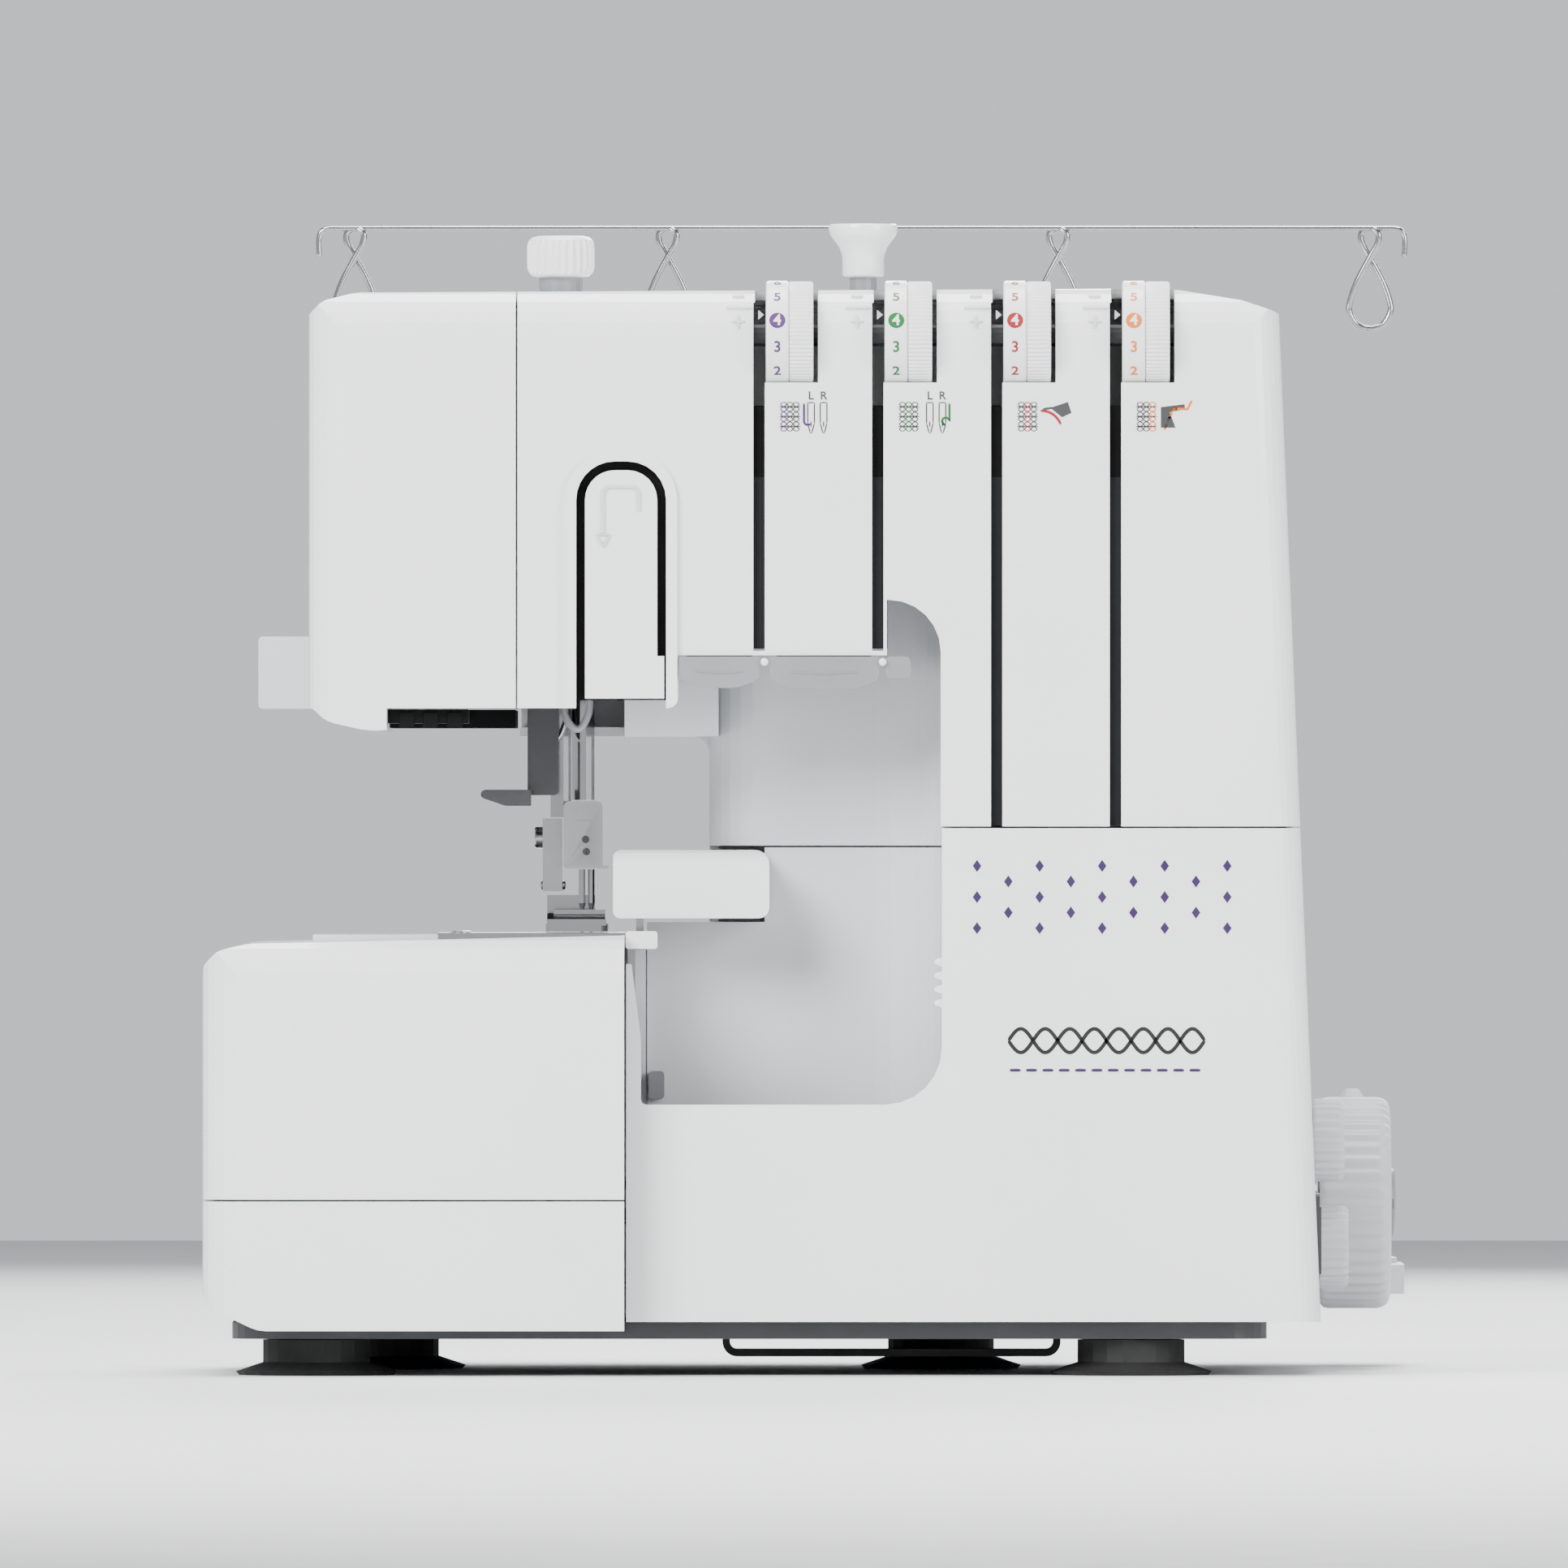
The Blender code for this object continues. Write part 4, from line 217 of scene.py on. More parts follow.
MATERIAL_NODES = (
    (WHITE, "front_cover rear_cover face_cover looper_cover cloth_plate base_left_cover takeup_cover "
            "knife_cover guide_bar_holder"),
    # the throat walls take the darker white of painted shade
    (SHADED_RECESS_WHITE, "upper_throat_wall lower_throat_wall"),
    (BUTTON_WHITE, "hem_lever pressure_knob tension_dial_1 tension_dial_2 tension_dial_3 tension_dial_4"),
    (LEVER, "presser_lever"),
    (GREY, "thread_guide_left thread_guide_middle thread_guide_right looper_thread_guide"),
    (PALE_GREY, "spool_stand handwheel stitch_length_dial differential_dial"),
    (STEM_GREY, "pressure_stem mast_outer mast_middle mast_inner"),
    (DARK, "base_plate under_rail tension_frame power_switch power_inlet needle_threader"),
    (RUBBER, "foot_front_left foot_front_right foot_rear_left foot_rear_right"),
    (CAST, "cast_frame"),
    (MOTOR, "motor"),
    (BELT, "drive_belt"),
    (PLATE, "needle_plate"),
    (STEEL, "feed_dog needle_clamp presser_ankle lower_knife upper_knife main_shaft motor_pulley "
            "cover_hinge_rod"),
    (CHROME, "presser_foot presser_bar needle_bar needle_left needle_right lower_looper upper_looper"),
    (WIRE, "guide_bar"),
)
NODE_MATERIALS = {name: material for material, names in MATERIAL_NODES for name in names.split()}
EDGE_NODES = (
    (0.0005, "front_cover rear_cover face_cover looper_cover cloth_plate base_left_cover handwheel"),
    (0.0004, "upper_throat_wall lower_throat_wall"),
    (0.0006, "cast_frame presser_lever spool_stand"),
    (0.0007, "takeup_cover"),
    (0.0008, "knife_cover"),
)
EDGE_WIDTHS = {name: width for width, names in EDGE_NODES for name in names.split()}


def smooth_group():
    """Geometry nodes that shade a mesh smooth apart from its corners"""
    group = bpy.data.node_groups.new("smooth_by_angle", "GeometryNodeTree")
    group.interface.new_socket("Geometry", in_out="INPUT", socket_type="NodeSocketGeometry")
    group.interface.new_socket("Geometry", in_out="OUTPUT", socket_type="NodeSocketGeometry")
    start, end, forget, smooth, angle, corner, sharp = (group.nodes.new(kind) for kind in (
        "NodeGroupInput", "NodeGroupOutput", "GeometryNodeRemoveAttribute", "GeometryNodeSetShadeSmooth",
        "GeometryNodeInputMeshEdgeAngle", "FunctionNodeCompare", "GeometryNodeSetShadeSmooth"))
    forget.inputs["Name"].default_value = "custom_normal"
    corner.operation = "GREATER_THAN"
    corner.inputs["B"].default_value = math.radians(34.0)
    sharp.domain = "EDGE"
    sharp.inputs["Shade Smooth"].default_value = False
    chain = (start, forget, smooth, sharp, end)
    for before, after in zip(chain, chain[1:]):
        group.links.new(before.outputs["Geometry"], after.inputs["Geometry"])
    group.links.new(angle.outputs["Unsigned Angle"], corner.inputs["A"])
    group.links.new(corner.outputs["Result"], sharp.inputs["Selection"])
    return group


SMOOTH_GROUP = smooth_group()


def soften(piece, width):
    """Round the corners of a piece by width, and shade it smooth between them"""
    flat = piece.modifiers.new("merge_flat", "DECIMATE")
    flat.decimate_type = "DISSOLVE"
    flat.angle_limit = math.radians(0.4)
    if width:
        bevel = piece.modifiers.new("edge", "BEVEL")
        bevel.width = width
        bevel.segments = 3
        bevel.limit_method = "ANGLE"
        bevel.angle_limit = math.radians(40.0)
        bevel.use_clamp_overlap = True
    smooth = piece.modifiers.new("smooth", "NODES")
    smooth.node_group = SMOOTH_GROUP
    weighted = piece.modifiers.new("weighted", "WEIGHTED_NORMAL")
    weighted.keep_sharp = True
    weighted.weight = 80


def dress_nodes():
    """Give every CAD node its material and softened corners"""
    for name, node in NODES.items():
        node.data.materials.clear()
        node.data.materials.append(NODE_MATERIALS[name])
        soften(node, EDGE_WIDTHS.get(name, SMALL_EDGE))


# ---- Mesh building ----
def mesh_of(bm, name, material):
    """Turn a bmesh into a mesh of one material"""
    mesh = bpy.data.meshes.new(name)
    bm.to_mesh(mesh)
    bm.free()
    mesh.materials.append(material)
    return mesh


def linked(name, data):
    """A new object of the scene"""
    made = bpy.data.objects.new(name, data)
    bpy.context.scene.collection.objects.link(made)
    return made


def piece(name, bm, body, material, slot="white_plastic", smooth=True):
    """Turn a bmesh into an object that rides on body"""
    bmesh.ops.recalc_face_normals(bm, faces=bm.faces[:])
    mesh = mesh_of(bm, name, material)
    if smooth:
        mesh.shade_smooth()
        mesh.set_sharp_from_angle(angle=math.radians(35.0))
    made = linked(name, mesh)
    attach(made, body)
    return made


def sweep_rings(bm, rings, closed=False):
    """Skin a list of equal rings of points; the ends are filled unless the sweep is closed"""
    made = [[bm.verts.new(point) for point in ring] for ring in rings]
    count = len(made[0])
    last = len(made) if closed else len(made) - 1
    for index in range(last):
        lower = made[index]
        upper = made[(index + 1) % len(made)]
        for side in range(count):
            other = (side + 1) % count
            bm.faces.new((lower[side], lower[other], upper[other], upper[side]))
    if not closed:
        bm.faces.new(made[0])
        bm.faces.new(made[-1])


def box_middle(low, high, axes):
    """Centre of a box, for the axes named"""
    return tuple((low["xyz".index(axis)] + high["xyz".index(axis)]) / 2 for axis in axes)


def shifted(corner, x, y, z):
    return (corner[0] + x, corner[1] + y, corner[2] + z)


def place(axis, a, b, c):
    """The point at c along axis and at (a, b) across it"""
    if axis == "x":
        return (c, a, b)
    if axis == "y":
        return (a, c, b)
    return (a, b, c)


def turned(bm, profile, axis, centre, sides=48, ripple=None):
    """Skin a (radius, height) profile round an axis; ripple(angle, radius, height) may vary the radius"""
    rings = []
    for radius, height in profile:
        ring = []
        for side in range(sides):
            angle = 2 * math.pi * side / sides
            reach = ripple(angle, radius, height) if ripple else radius
            ring.append(place(axis, centre[0] + reach * math.cos(angle),
                              centre[1] + reach * math.sin(angle), height))
        rings.append(ring)
    sweep_rings(bm, rings)


def block(bm, low, high):
    """A box between two corners"""
    corners = [(low[0], low[1]), (high[0], low[1]), (high[0], high[1]), (low[0], high[1])]
    sweep_rings(bm, [[(x, y, z) for x, y in corners] for z in (low[2], high[2])])


def smooth_path(points, steps, closed=False):
    """A curve through all the points, with steps pieces between each two"""
    path = []
    count = len(points)
    spans = count if closed else count - 1
    for index in range(spans):
        if closed:
            before, start, end, after = (points[(index + k) % count] for k in (-1, 0, 1, 2))
        else:
            before = points[max(index - 1, 0)]
            start = points[index]
            end = points[index + 1]
            after = points[min(index + 2, count - 1)]
        for step in range(steps):
            t = step / steps
            path.append(0.5 * (
                2 * start
                + (end - before) * t
                + (2 * before - 5 * start + 4 * end - after) * t ** 2
                + (3 * start - before - 3 * end + after) * t ** 3
            ))
    if not closed:
        path.append(points[-1])
    return path


def wire(bm, points, radius, sides=12):
    """A round wire along a path, with slightly rounded ends"""
    rings = []
    normal = Vector((0.0, 1.0, 0.0))
    last = len(points) - 1
    for index, point in enumerate(points):
        tangent = (points[min(index + 1, last)] - points[max(index - 1, 0)]).normalized()
        normal = (normal - tangent * normal.dot(tangent)).normalized()
        side_way = tangent.cross(normal)
        reach = radius * (0.75 if index in (0, last) else 1.0)
        rings.append([
            point + reach * (normal * math.cos(2 * math.pi * side / sides)
                             + side_way * math.sin(2 * math.pi * side / sides))
            for side in range(sides)
        ])
    sweep_rings(bm, rings)


def turned_piece(name, profile, axis, centre, sides, body, material, slot="white_plastic"):
    """A piece that is one plain turned shape"""
    bm = bmesh.new()
    turned(bm, profile, axis, centre, sides)
    return piece(name, bm, body, material, slot)


# ---- Marks that lie on a surface ----
class Skin:
    """The surface of a CAD node as it is met from one side"""

    def __init__(self, node, axis="y", sign=1.0):
        mesh = NODES[node].data
        self.tree = BVHTree.FromPolygons([v.co for v in mesh.vertices], [p.vertices for p in mesh.polygons])
        self.axis = axis
        self.ray = Vector(place(axis, 0.0, 0.0, sign))

    def at(self, a, b, height=0.0):
        """The point over (a, b), lifted off the surface by height"""
        start = Vector(place(self.axis, a, b, 0.0)) - self.ray
        hit, normal, _, _ = self.tree.ray_cast(start, self.ray)
        if hit is None:
            return start + self.ray
        if normal.dot(self.ray) > 0:
            normal = -normal
        return hit + normal * height


def resampled(path, spacing):
    """The points of a path, with more between them so that none are further apart than spacing"""
    points = []
    for start, end in zip(path, path[1:]):
        count = max(1, math.ceil((end - start).length / spacing))
        points.extend(start + (end - start) * step / count for step in range(count))
    points.append(path[-1])
    return points


def stroke(bm, skin, path, width, height=PRINT_HEIGHT, spacing=0.0007):
    """A raised line along a path of (a, b) points, with sloping sides"""
    points = resampled([Vector(point) for point in path], spacing)
    last = len(points) - 1
    rings = []
    shoulder = max(0.3 * width, width / 2 - 0.8 * height)
    for index, point in enumerate(points):
        along = (points[min(index + 1, last)] - points[max(index - 1, 0)]).normalized()
        across = Vector((-along.y, along.x))
        shrink = 0.6 if index in (0, last) else 1.0
        ring = []
        profile = ((-width / 2, -SINK), (-shoulder, height), (shoulder, height), (width / 2, -SINK))
        for offset, lift in profile:
            spot = point + across * offset * shrink
            ring.append(skin.at(spot.x, spot.y, lift))
        rings.append(ring)
    sweep_rings(bm, rings)


def patch(bm, skin, outline, height=PRINT_HEIGHT):
    """A filled flat outline of (a, b) points, a little off the surface"""
    top = [bm.verts.new(skin.at(a, b, height)) for a, b in outline]
    bottom = [bm.verts.new(skin.at(a, b, -SINK)) for a, b in outline]
    count = len(outline)
    bm.faces.new(top)
    bm.faces.new(bottom)
    for index in range(count):
        other = (index + 1) % count
        bm.faces.new((top[index], top[other], bottom[other], bottom[index]))


def arc(centre, radius, start, end, steps=10):
    """Points of an arc, in degrees"""
    points = []
    for step in range(steps + 1):
        angle = math.radians(start + (end - start) * step / steps)
        points.append((centre[0] + radius * math.cos(angle), centre[1] + radius * math.sin(angle)))
    return points


def moved(x, z, *offsets):
    """A path of points that are given from (x, z)"""
    return [(x + across, z + up) for across, up in offsets]


def lettered(text, size):
    """Flat triangles of a short text, centred on the origin, as vertices and faces"""
    curve = bpy.data.curves.new("letters", "FONT")
    curve.body = text
    curve.size = size
    curve.offset = 0.022 * size
    curve.align_x = "CENTER"
    curve.align_y = "CENTER"
    holder = linked("letters", curve)
    graph = bpy.context.evaluated_depsgraph_get()
    mesh = bpy.data.meshes.new_from_object(holder.evaluated_get(graph))
    bpy.data.objects.remove(holder, do_unlink=True)
    bm = bmesh.new()
    bm.from_mesh(mesh)
    for step in range(-4, 5):
        everything = bm.verts[:] + bm.edges[:] + bm.faces[:]
        bmesh.ops.bisect_plane(bm, geom=everything, plane_co=(0, step * size / 9, 0), plane_no=(0, 1, 0))
    bm.verts.index_update()
    flat = [(v.co.x, v.co.y) for v in bm.verts]
    faces = [[v.index for v in f.verts] for f in bm.faces]
    bm.free()
    return flat, faces


def write(bm, text, size, spot):
    """Put a short text where spot(across, up) says each of its points goes"""
    flat, faces = lettered(text, size)
    made = [bm.verts.new(spot(a, b)) for a, b in flat]
    for face in faces:
        bm.faces.new([made[index] for index in face])


# ---- Tension dials ----
def dial_name(index):
    return "tension_dial_%d" % (index + 1)


def dial_box(index):
    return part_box(dial_name(index))


def dial_rim(index, left, right, radius, centre):
    """A smooth band for the numbers and a ridged band for the finger, round a plain web"""
    bm = bmesh.new()
    band = left + NUMBER_BAND
    turned(bm, (
        (radius - 0.0040, left), (radius - 0.0006, left), (radius - 0.0001, left + 0.0003),
        (radius, left + 0.0008), (radius, band - 0.0004), (radius - 0.0005, band),
        (radius - 0.0040, band),
    ), "x", centre, 96)

    def ridge(angle, reach, _height):
        if radius - reach > 0.0009:
            return reach
        return reach - 0.00032 * (1.0 - max(-0.4, math.cos(angle * RIB_COUNT)))

    turned(bm, (
        (radius - 0.0040, band), (radius - 0.0005, band + 0.0001), (radius - 0.0002, band + 0.0004),
        (radius - 0.0002, right - 0.0005), (radius - 0.0006, right), (radius - 0.0040, right),
    ), "x", centre, RIB_COUNT * 6, ridge)
    made = piece("dial_rim_%d" % (index + 1), bm, dial_name(index), BUTTON_WHITE)
    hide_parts(dial_name(index))
    turned_piece("dial_web_%d" % (index + 1), (
        (0.0032, left + 0.0010), (radius - 0.0038, left + 0.0010), (radius - 0.0038, right - 0.0010),
        (0.0032, right - 0.0010)), "x", centre, 64, dial_name(index), BUTTON_WHITE)


def dial_numbers(index, middle, radius, centre):
    """Numbers round the band, and a coloured disc with a white number for the setting that is shown"""
    marks = bmesh.new()
    inverse = bmesh.new()

    def on_band(across, angle, lift):
        reach = radius + lift
        return (middle + across, centre[0] - reach * math.cos(angle), centre[1] + reach * math.sin(angle))

    for number in range(10):
        turn = math.radians(SHOWN_ANGLE + (number - SHOWN_NUMBER) * NUMBER_STEP)
        shown = number == SHOWN_NUMBER

        def spot(across, up, turn=turn, lift=NUMBER_HEIGHT * (2 if shown else 1)):
            return on_band(across, turn + up / radius, lift)

        write(inverse if shown else marks, str(number), DIGIT_SIZE, spot)
        if shown:
            disc = []
            rows = 8
            for row in range(rows + 1):
                up = SETTING_RADIUS * math.sin(math.pi * (row / rows - 0.5))
                half = math.sqrt(max(0.0, SETTING_RADIUS ** 2 - up ** 2)) + 0.00001
                angle = turn + up / radius
                disc.append([marks.verts.new(on_band(side, angle, NUMBER_HEIGHT)) for side in (-half, half)])
            for lower, upper in zip(disc, disc[1:]):
                marks.faces.new((lower[0], lower[1], upper[1], upper[0]))
    piece("dial_numbers_%d" % (index + 1), marks, dial_name(index), INK_THREAD[index], smooth=False)
    piece("dial_setting_%d" % (index + 1), inverse, dial_name(index), BUTTON_WHITE, smooth=False)


def tension_dials():
    for index in range(DIAL_COUNT):
        low, high = dial_box(index)
        radius = (high[2] - low[2]) / 2 - 0.00005
        centre = box_middle(low, high, "yz")
        dial_rim(index, low[0], high[0], radius, centre)
        dial_numbers(index, low[0] + NUMBER_BAND / 2, radius, centre)


# ---- Guide bar and its holder ----
def loop_middle(opening):
    """Where a thread loop stands along the guide bar"""
    box = opening.get("box_m") or opening.get("box")
    return (box[0][0] + box[1][0]) / 2


def guide_wire():
    """The bar with its bent-down ends, and four wire loops that cross below it"""
    low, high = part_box("guide_bar")
    bar_radius = 0.00075
    wire_radius = 0.0009
    y = (low[1] + high[1]) / 2
    bar_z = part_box("guide_bar_holder")[1][2] - 0.0010
    bar_z = min(bar_z, high[2] - wire_radius)
    drop = bar_z - low[2] - wire_radius
    bm = bmesh.new()
    ends = [(-0.0002, -0.0078), (-0.0004, -0.0050), (-0.0003, -0.0024), (0.0006, -0.0006), (0.0026, 0.0)]
    left = [Vector((low[0] + bar_radius + 0.0004 + a, y, bar_z + b)) for a, b in ends]
    right = [Vector((high[0] - bar_radius - 0.0004 - a, y, bar_z + b)) for a, b in reversed(ends)]
    wire(bm, smooth_path(left, 5) + smooth_path(right, 5), bar_radius)
    for opening in frame["record"]["physics"]["openings"]:
        if "thread_loop" in json.dumps(opening):
            x = loop_middle(opening)
            half = 0.0058
            loop_height = 0.0277
            shape = (
                (0.0, 0.0, 0.0), (0.62, 0.0011, 0.0001), (0.96, 0.0044, 0.0003), (0.94, 0.0074, 0.0005),
                (0.62, 0.0128, 0.0009), (0.0, 0.0197, 0.0013), (-0.36, 0.0236, 0.0016),
                (-0.40, 0.0262, 0.0017), (-0.10, 0.0276, 0.0012),
            )
            right_half = [Vector((x + a * half, y + c, bar_z - drop + b * drop / loop_height))
                          for a, b, c in shape]
            left_half = [Vector((x - a * half, y - c, bar_z - drop + b * drop / loop_height))
                         for a, b, c in reversed(shape[1:])]
            wire(bm, smooth_path(left_half + right_half, 6), wire_radius)
    made = piece("guide_wire", bm, "mast_top", WIRE, "steel")
    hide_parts("guide_bar")


# ---- Turned and pressed parts ----
def pressure_knob():
    """A ribbed cap with a rounded top"""
    low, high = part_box("pressure_knob")
    centre = box_middle(low, high, "xy")
    radius = (high[0] - low[0]) / 2
    ribs = 26

    def ribbed(angle, reach, height):
        share = (height - low[2]) / (high[2] - low[2])
        if not 0.12 < share < 0.86:
            return reach
        return reach - 0.00045 * (1.0 - math.cos(angle * ribs))

    bm = bmesh.new()
    turned(bm, [(radius * r, low[2] + (high[2] - low[2]) * h) for r, h in (
        (0.70, 0.0), (0.84, 0.02), (0.92, 0.08), (0.97, 0.15), (1.0, 0.24), (1.0, 0.72), (0.985, 0.82),
        (0.94, 0.90), (0.86, 0.96), (0.70, 0.995), (0.40, 1.0), (0.05, 1.0))], "z", centre, ribs * 8, ribbed)
    made = piece("pressure_knob_ribbed", bm, "pressure_knob", BUTTON_WHITE)
    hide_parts("pressure_knob")


def bar_holder():
    """A bell that flares out to carry the guide bar"""
    low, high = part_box("guide_bar_holder")
    centre = box_middle(low, high, "xy")
    radius = (high[0] - low[0]) / 2
    made = turned_piece("guide_bar_bell", [(radius * r, low[2] + (high[2] - low[2]) * h) for r, h in (
        (0.54, 0.0), (0.59, 0.02), (0.61, 0.05), (0.61, 0.34), (0.63, 0.42), (0.69, 0.54), (0.79, 0.64),
        (0.91, 0.74), (0.975, 0.80), (1.0, 0.87), (1.0, 0.93), (0.98, 0.98), (0.94, 1.0), (0.05, 1.0))],
        "z", centre, 72, "mast_top", WHITE)
    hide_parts("guide_bar_holder")


def screw(name, centre, axis, sign, radius, height, body, material=STEEL, turn=0.3):
    """A slotted screw head that stands up from centre along axis"""
    bm = bmesh.new()
    base = centre[2]
    turned(bm, ((radius, base), (radius, base + sign * height * 0.55),
                (0.02 * radius, base + sign * height * 0.56)), axis, centre[:2], 24)
    slot_half = 0.16 * radius
    for side in (0.0, math.pi):
        first = math.asin(slot_half / radius)
        steps = 14
        outline = []
        for step in range(steps + 1):
            angle = first + (math.pi - 2 * first) * step / steps + side + turn
            outline.append((centre[0] + radius * math.cos(angle), centre[1] + radius * math.sin(angle)))
        inner = [(centre[0] + (a - centre[0]) * 0.86 + 0.14 * slot_half * math.cos(side + turn + math.pi / 2),
                  centre[1] + (b - centre[1]) * 0.86 + 0.14 * slot_half * math.sin(side + turn + math.pi / 2))
                 for a, b in outline]
        sweep_rings(bm, [
            [place(axis, a, b, base + sign * height * 0.5) for a, b in outline],
            [place(axis, a, b, base + sign * height * 0.85) for a, b in outline],
            [place(axis, a, b, base + sign * height) for a, b in inner],
        ])
    return piece(name, bm, body, material, "steel")


# ---- Front of the casing ----
def slot_middle(index):
    """Where a thread slot lies across the front, on the left of its dial"""
    return dial_box(index)[0][0] - DIAL_GAP - SLOT_WIDTH / 2


def thread_slots():
    """Dark strips behind the thread slots that paint the shade in their depth, black above and slate below,
    and the pointer beside each dial
    """
    front = Skin("front_cover")
    face_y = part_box("looper_cover")[0][1]
    bottoms = [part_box("thread_guide_middle")[1][2] - 0.004] * 2 + [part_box("looper_cover")[1][2]] * 2
    for index, bottom in enumerate(bottoms):
        x = slot_middle(index)
        half = SLOT_WIDTH / 2 + 0.0011
        change = dial_box(0)[0][2] - 0.0235
        # painted shade: the upper strips are black, the lower ones slate
        for name, low, high, material in (("slot_upper_%d", change, change + 0.0190, BLACK_AND_SHADE),
                                          ("slot_lower_%d", bottom + 0.0008, change, SLOT)):
            bm = bmesh.new()
            block(bm, (x - half, face_y + 0.0028, low), (x + half, face_y + 0.0037, high))
            piece(name % (index + 1), bm, "root", material, "dark_plastic")
        z = dial_box(0)[1][2] - 0.0093
        y = front.at(x - SLOT_WIDTH / 2 - 0.0010, z)[1] + 0.0006
        bm = bmesh.new()
        sweep_rings(bm, [[(x - 0.0002, depth, z - 0.0013), (x + SLOT_WIDTH / 2 - 0.0002, depth, z),
                          (x - 0.0002, depth, z + 0.0013)] for depth in (y, y + 0.0012)])
        piece("dial_pointer_%d" % (index + 1), bm, "root", PALE_GREY, "pale_grey_plastic")


def dial_signs():
    """Raised minus and plus beside each dial, with a line between them"""
    skin = Skin("front_cover")
    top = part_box("front_cover")[1][2]
    bm = bmesh.new()
    for index in range(DIAL_COUNT):
        x = slot_middle(index) - 0.0056
        for ends in (((-0.0016, -0.0022), (0.0016, -0.0022)), ((-0.0032, -0.0054), (0.0037, -0.0054)),
                     ((-0.0017, -0.0091), (0.0017, -0.0091)), ((0.0, -0.0108), (0.0, -0.0074))):
            stroke(bm, skin, moved(x, top, *ends), 0.0010, EMBOSS_HEIGHT)
    # the grey of the signs is painted shade
    piece("dial_signs", bm, "root", SHADED_SIGN_WHITE)


def threading_arrow():
    """A raised arrow on the tongue: up, over and down"""
    skin = Skin("takeup_cover")
    low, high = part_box("takeup_cover")
    left = low[0] + 0.0049
    right = low[0] + 0.0146
    top = high[2] - 0.0045
    bend = 0.0018
    path = [(right, top - 0.0066)] + arc((right - bend, top - bend), bend, 0, 90)
    path += arc((left + bend, top - bend), bend, 90, 180) + [(left, top - 0.0128)]
    tip = top - 0.0162
    corners = [(left - 0.0018, tip + 0.0034), (left, tip), (left + 0.0018, tip + 0.0034)]
    head = corners + corners[:1]
    bm = bmesh.new()
    stroke(bm, skin, path, 0.0012, EMBOSS_HEIGHT, 0.0004)
    for start, end in zip(head, head[1:]):
        stroke(bm, skin, (start, end), 0.0008, EMBOSS_HEIGHT)
    # the grey of the arrow is painted shade
    piece("threading_arrow", bm, "root", SHADED_SIGN_WHITE)


def inner_panels():
    """Black plate of painted shade behind the tongue's slots, and the inner panel between the bed and the
    recess
    """
    low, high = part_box("takeup_cover")
    bm = bmesh.new()
    block(bm, (low[0] - 0.0031, high[1] + 0.0002, low[2] - 0.0004), shifted(high, 0.0012, 0.0010, 0.0032))
    # painted shade seen through the tongue's slots
    piece("tongue_back_shade", bm, "root", BLACK_AND_SHADE, "dark_plastic")
    cloth_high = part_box("cloth_plate")[1]
    wall_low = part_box("lower_throat_wall")[0]
    knife_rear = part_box("lower_knife")[1][1]
    bm = bmesh.new()
    left = cloth_high[0] + 0.0006
    right = wall_low[0] - 0.0003
    block(bm, (left, knife_rear + 0.0004, wall_low[2]), (right, knife_rear + 0.0016, cloth_high[2] - 0.0040))
    # the inner panel takes the darker white of painted shade in the recess
    piece("inner_panel", bm, "root", SHADED_RECESS_WHITE)


def node_body(node):
    """The body that a CAD node moves with"""
    return next(body for body, nodes in frame["record"]["behaviour"]["bodies"].items() if node in nodes)


def ribbed_wheel(node, ribs, profile):
    """A dial or wheel on the right side, with a ribbed rim; profile is (share of radius, share of width)"""
    low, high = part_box(node)
    centre = box_middle(low, high, "yz")
    radius = (high[2] - low[2]) / 2
    inner = high[0] - WHEEL_WIDTHS[node]

    def ribbed(angle, reach, _height):
        if reach < 0.93 * radius:
            return reach
        return reach - 0.0007 * (1.0 - math.cos(angle * ribs)) / 2

    bm = bmesh.new()
    turned(bm, [(radius * share, inner + WHEEL_WIDTHS[node] * across) for share, across in profile],
           "x", centre, ribs * 8, ribbed)
    made = piece(node + "_ribbed", bm, node_body(node), PALE_GREY, "pale_grey_plastic")
    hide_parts(node)


def side_wheels():
    ribbed_wheel("handwheel", 44, (
        (0.30, 0.0), (0.92, 0.0), (0.96, 0.02), (0.99, 0.06), (1.0, 0.12), (1.0, 0.80), (0.985, 0.88),
        (0.95, 0.94), (0.90, 0.97), (0.84, 0.98), (0.80, 0.95), (0.76, 0.90), (0.50, 0.88), (0.38, 0.90),
        (0.34, 0.99), (0.05, 1.0),
    ))
    for node in ("stitch_length_dial", "differential_dial"):
        ribbed_wheel(node, 26, (
            (0.30, 0.0), (0.95, 0.0), (0.99, 0.06), (1.0, 0.14), (1.0, 0.80), (0.97, 0.92), (0.90, 1.0),
            (0.05, 1.0),
        ))


def guide_lines():
    """A shallow raised line on each grey guide plate"""
    for name in ("thread_guide_left", "thread_guide_middle"):
        skin = Skin(name)
        low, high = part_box(name)
        bm = bmesh.new()
        middle = (low[0] + high[0]) / 2
        reach = 0.30 * (high[0] - low[0])
        z = low[2] + 0.0042
        stroke(bm, skin, [(middle - reach, z + 0.0003), (middle, z - 0.0003), (middle + reach, z + 0.0003)],
               0.0005, 0.0002)
        piece(name + "_line", bm, "root", GREY, "grey_plastic")


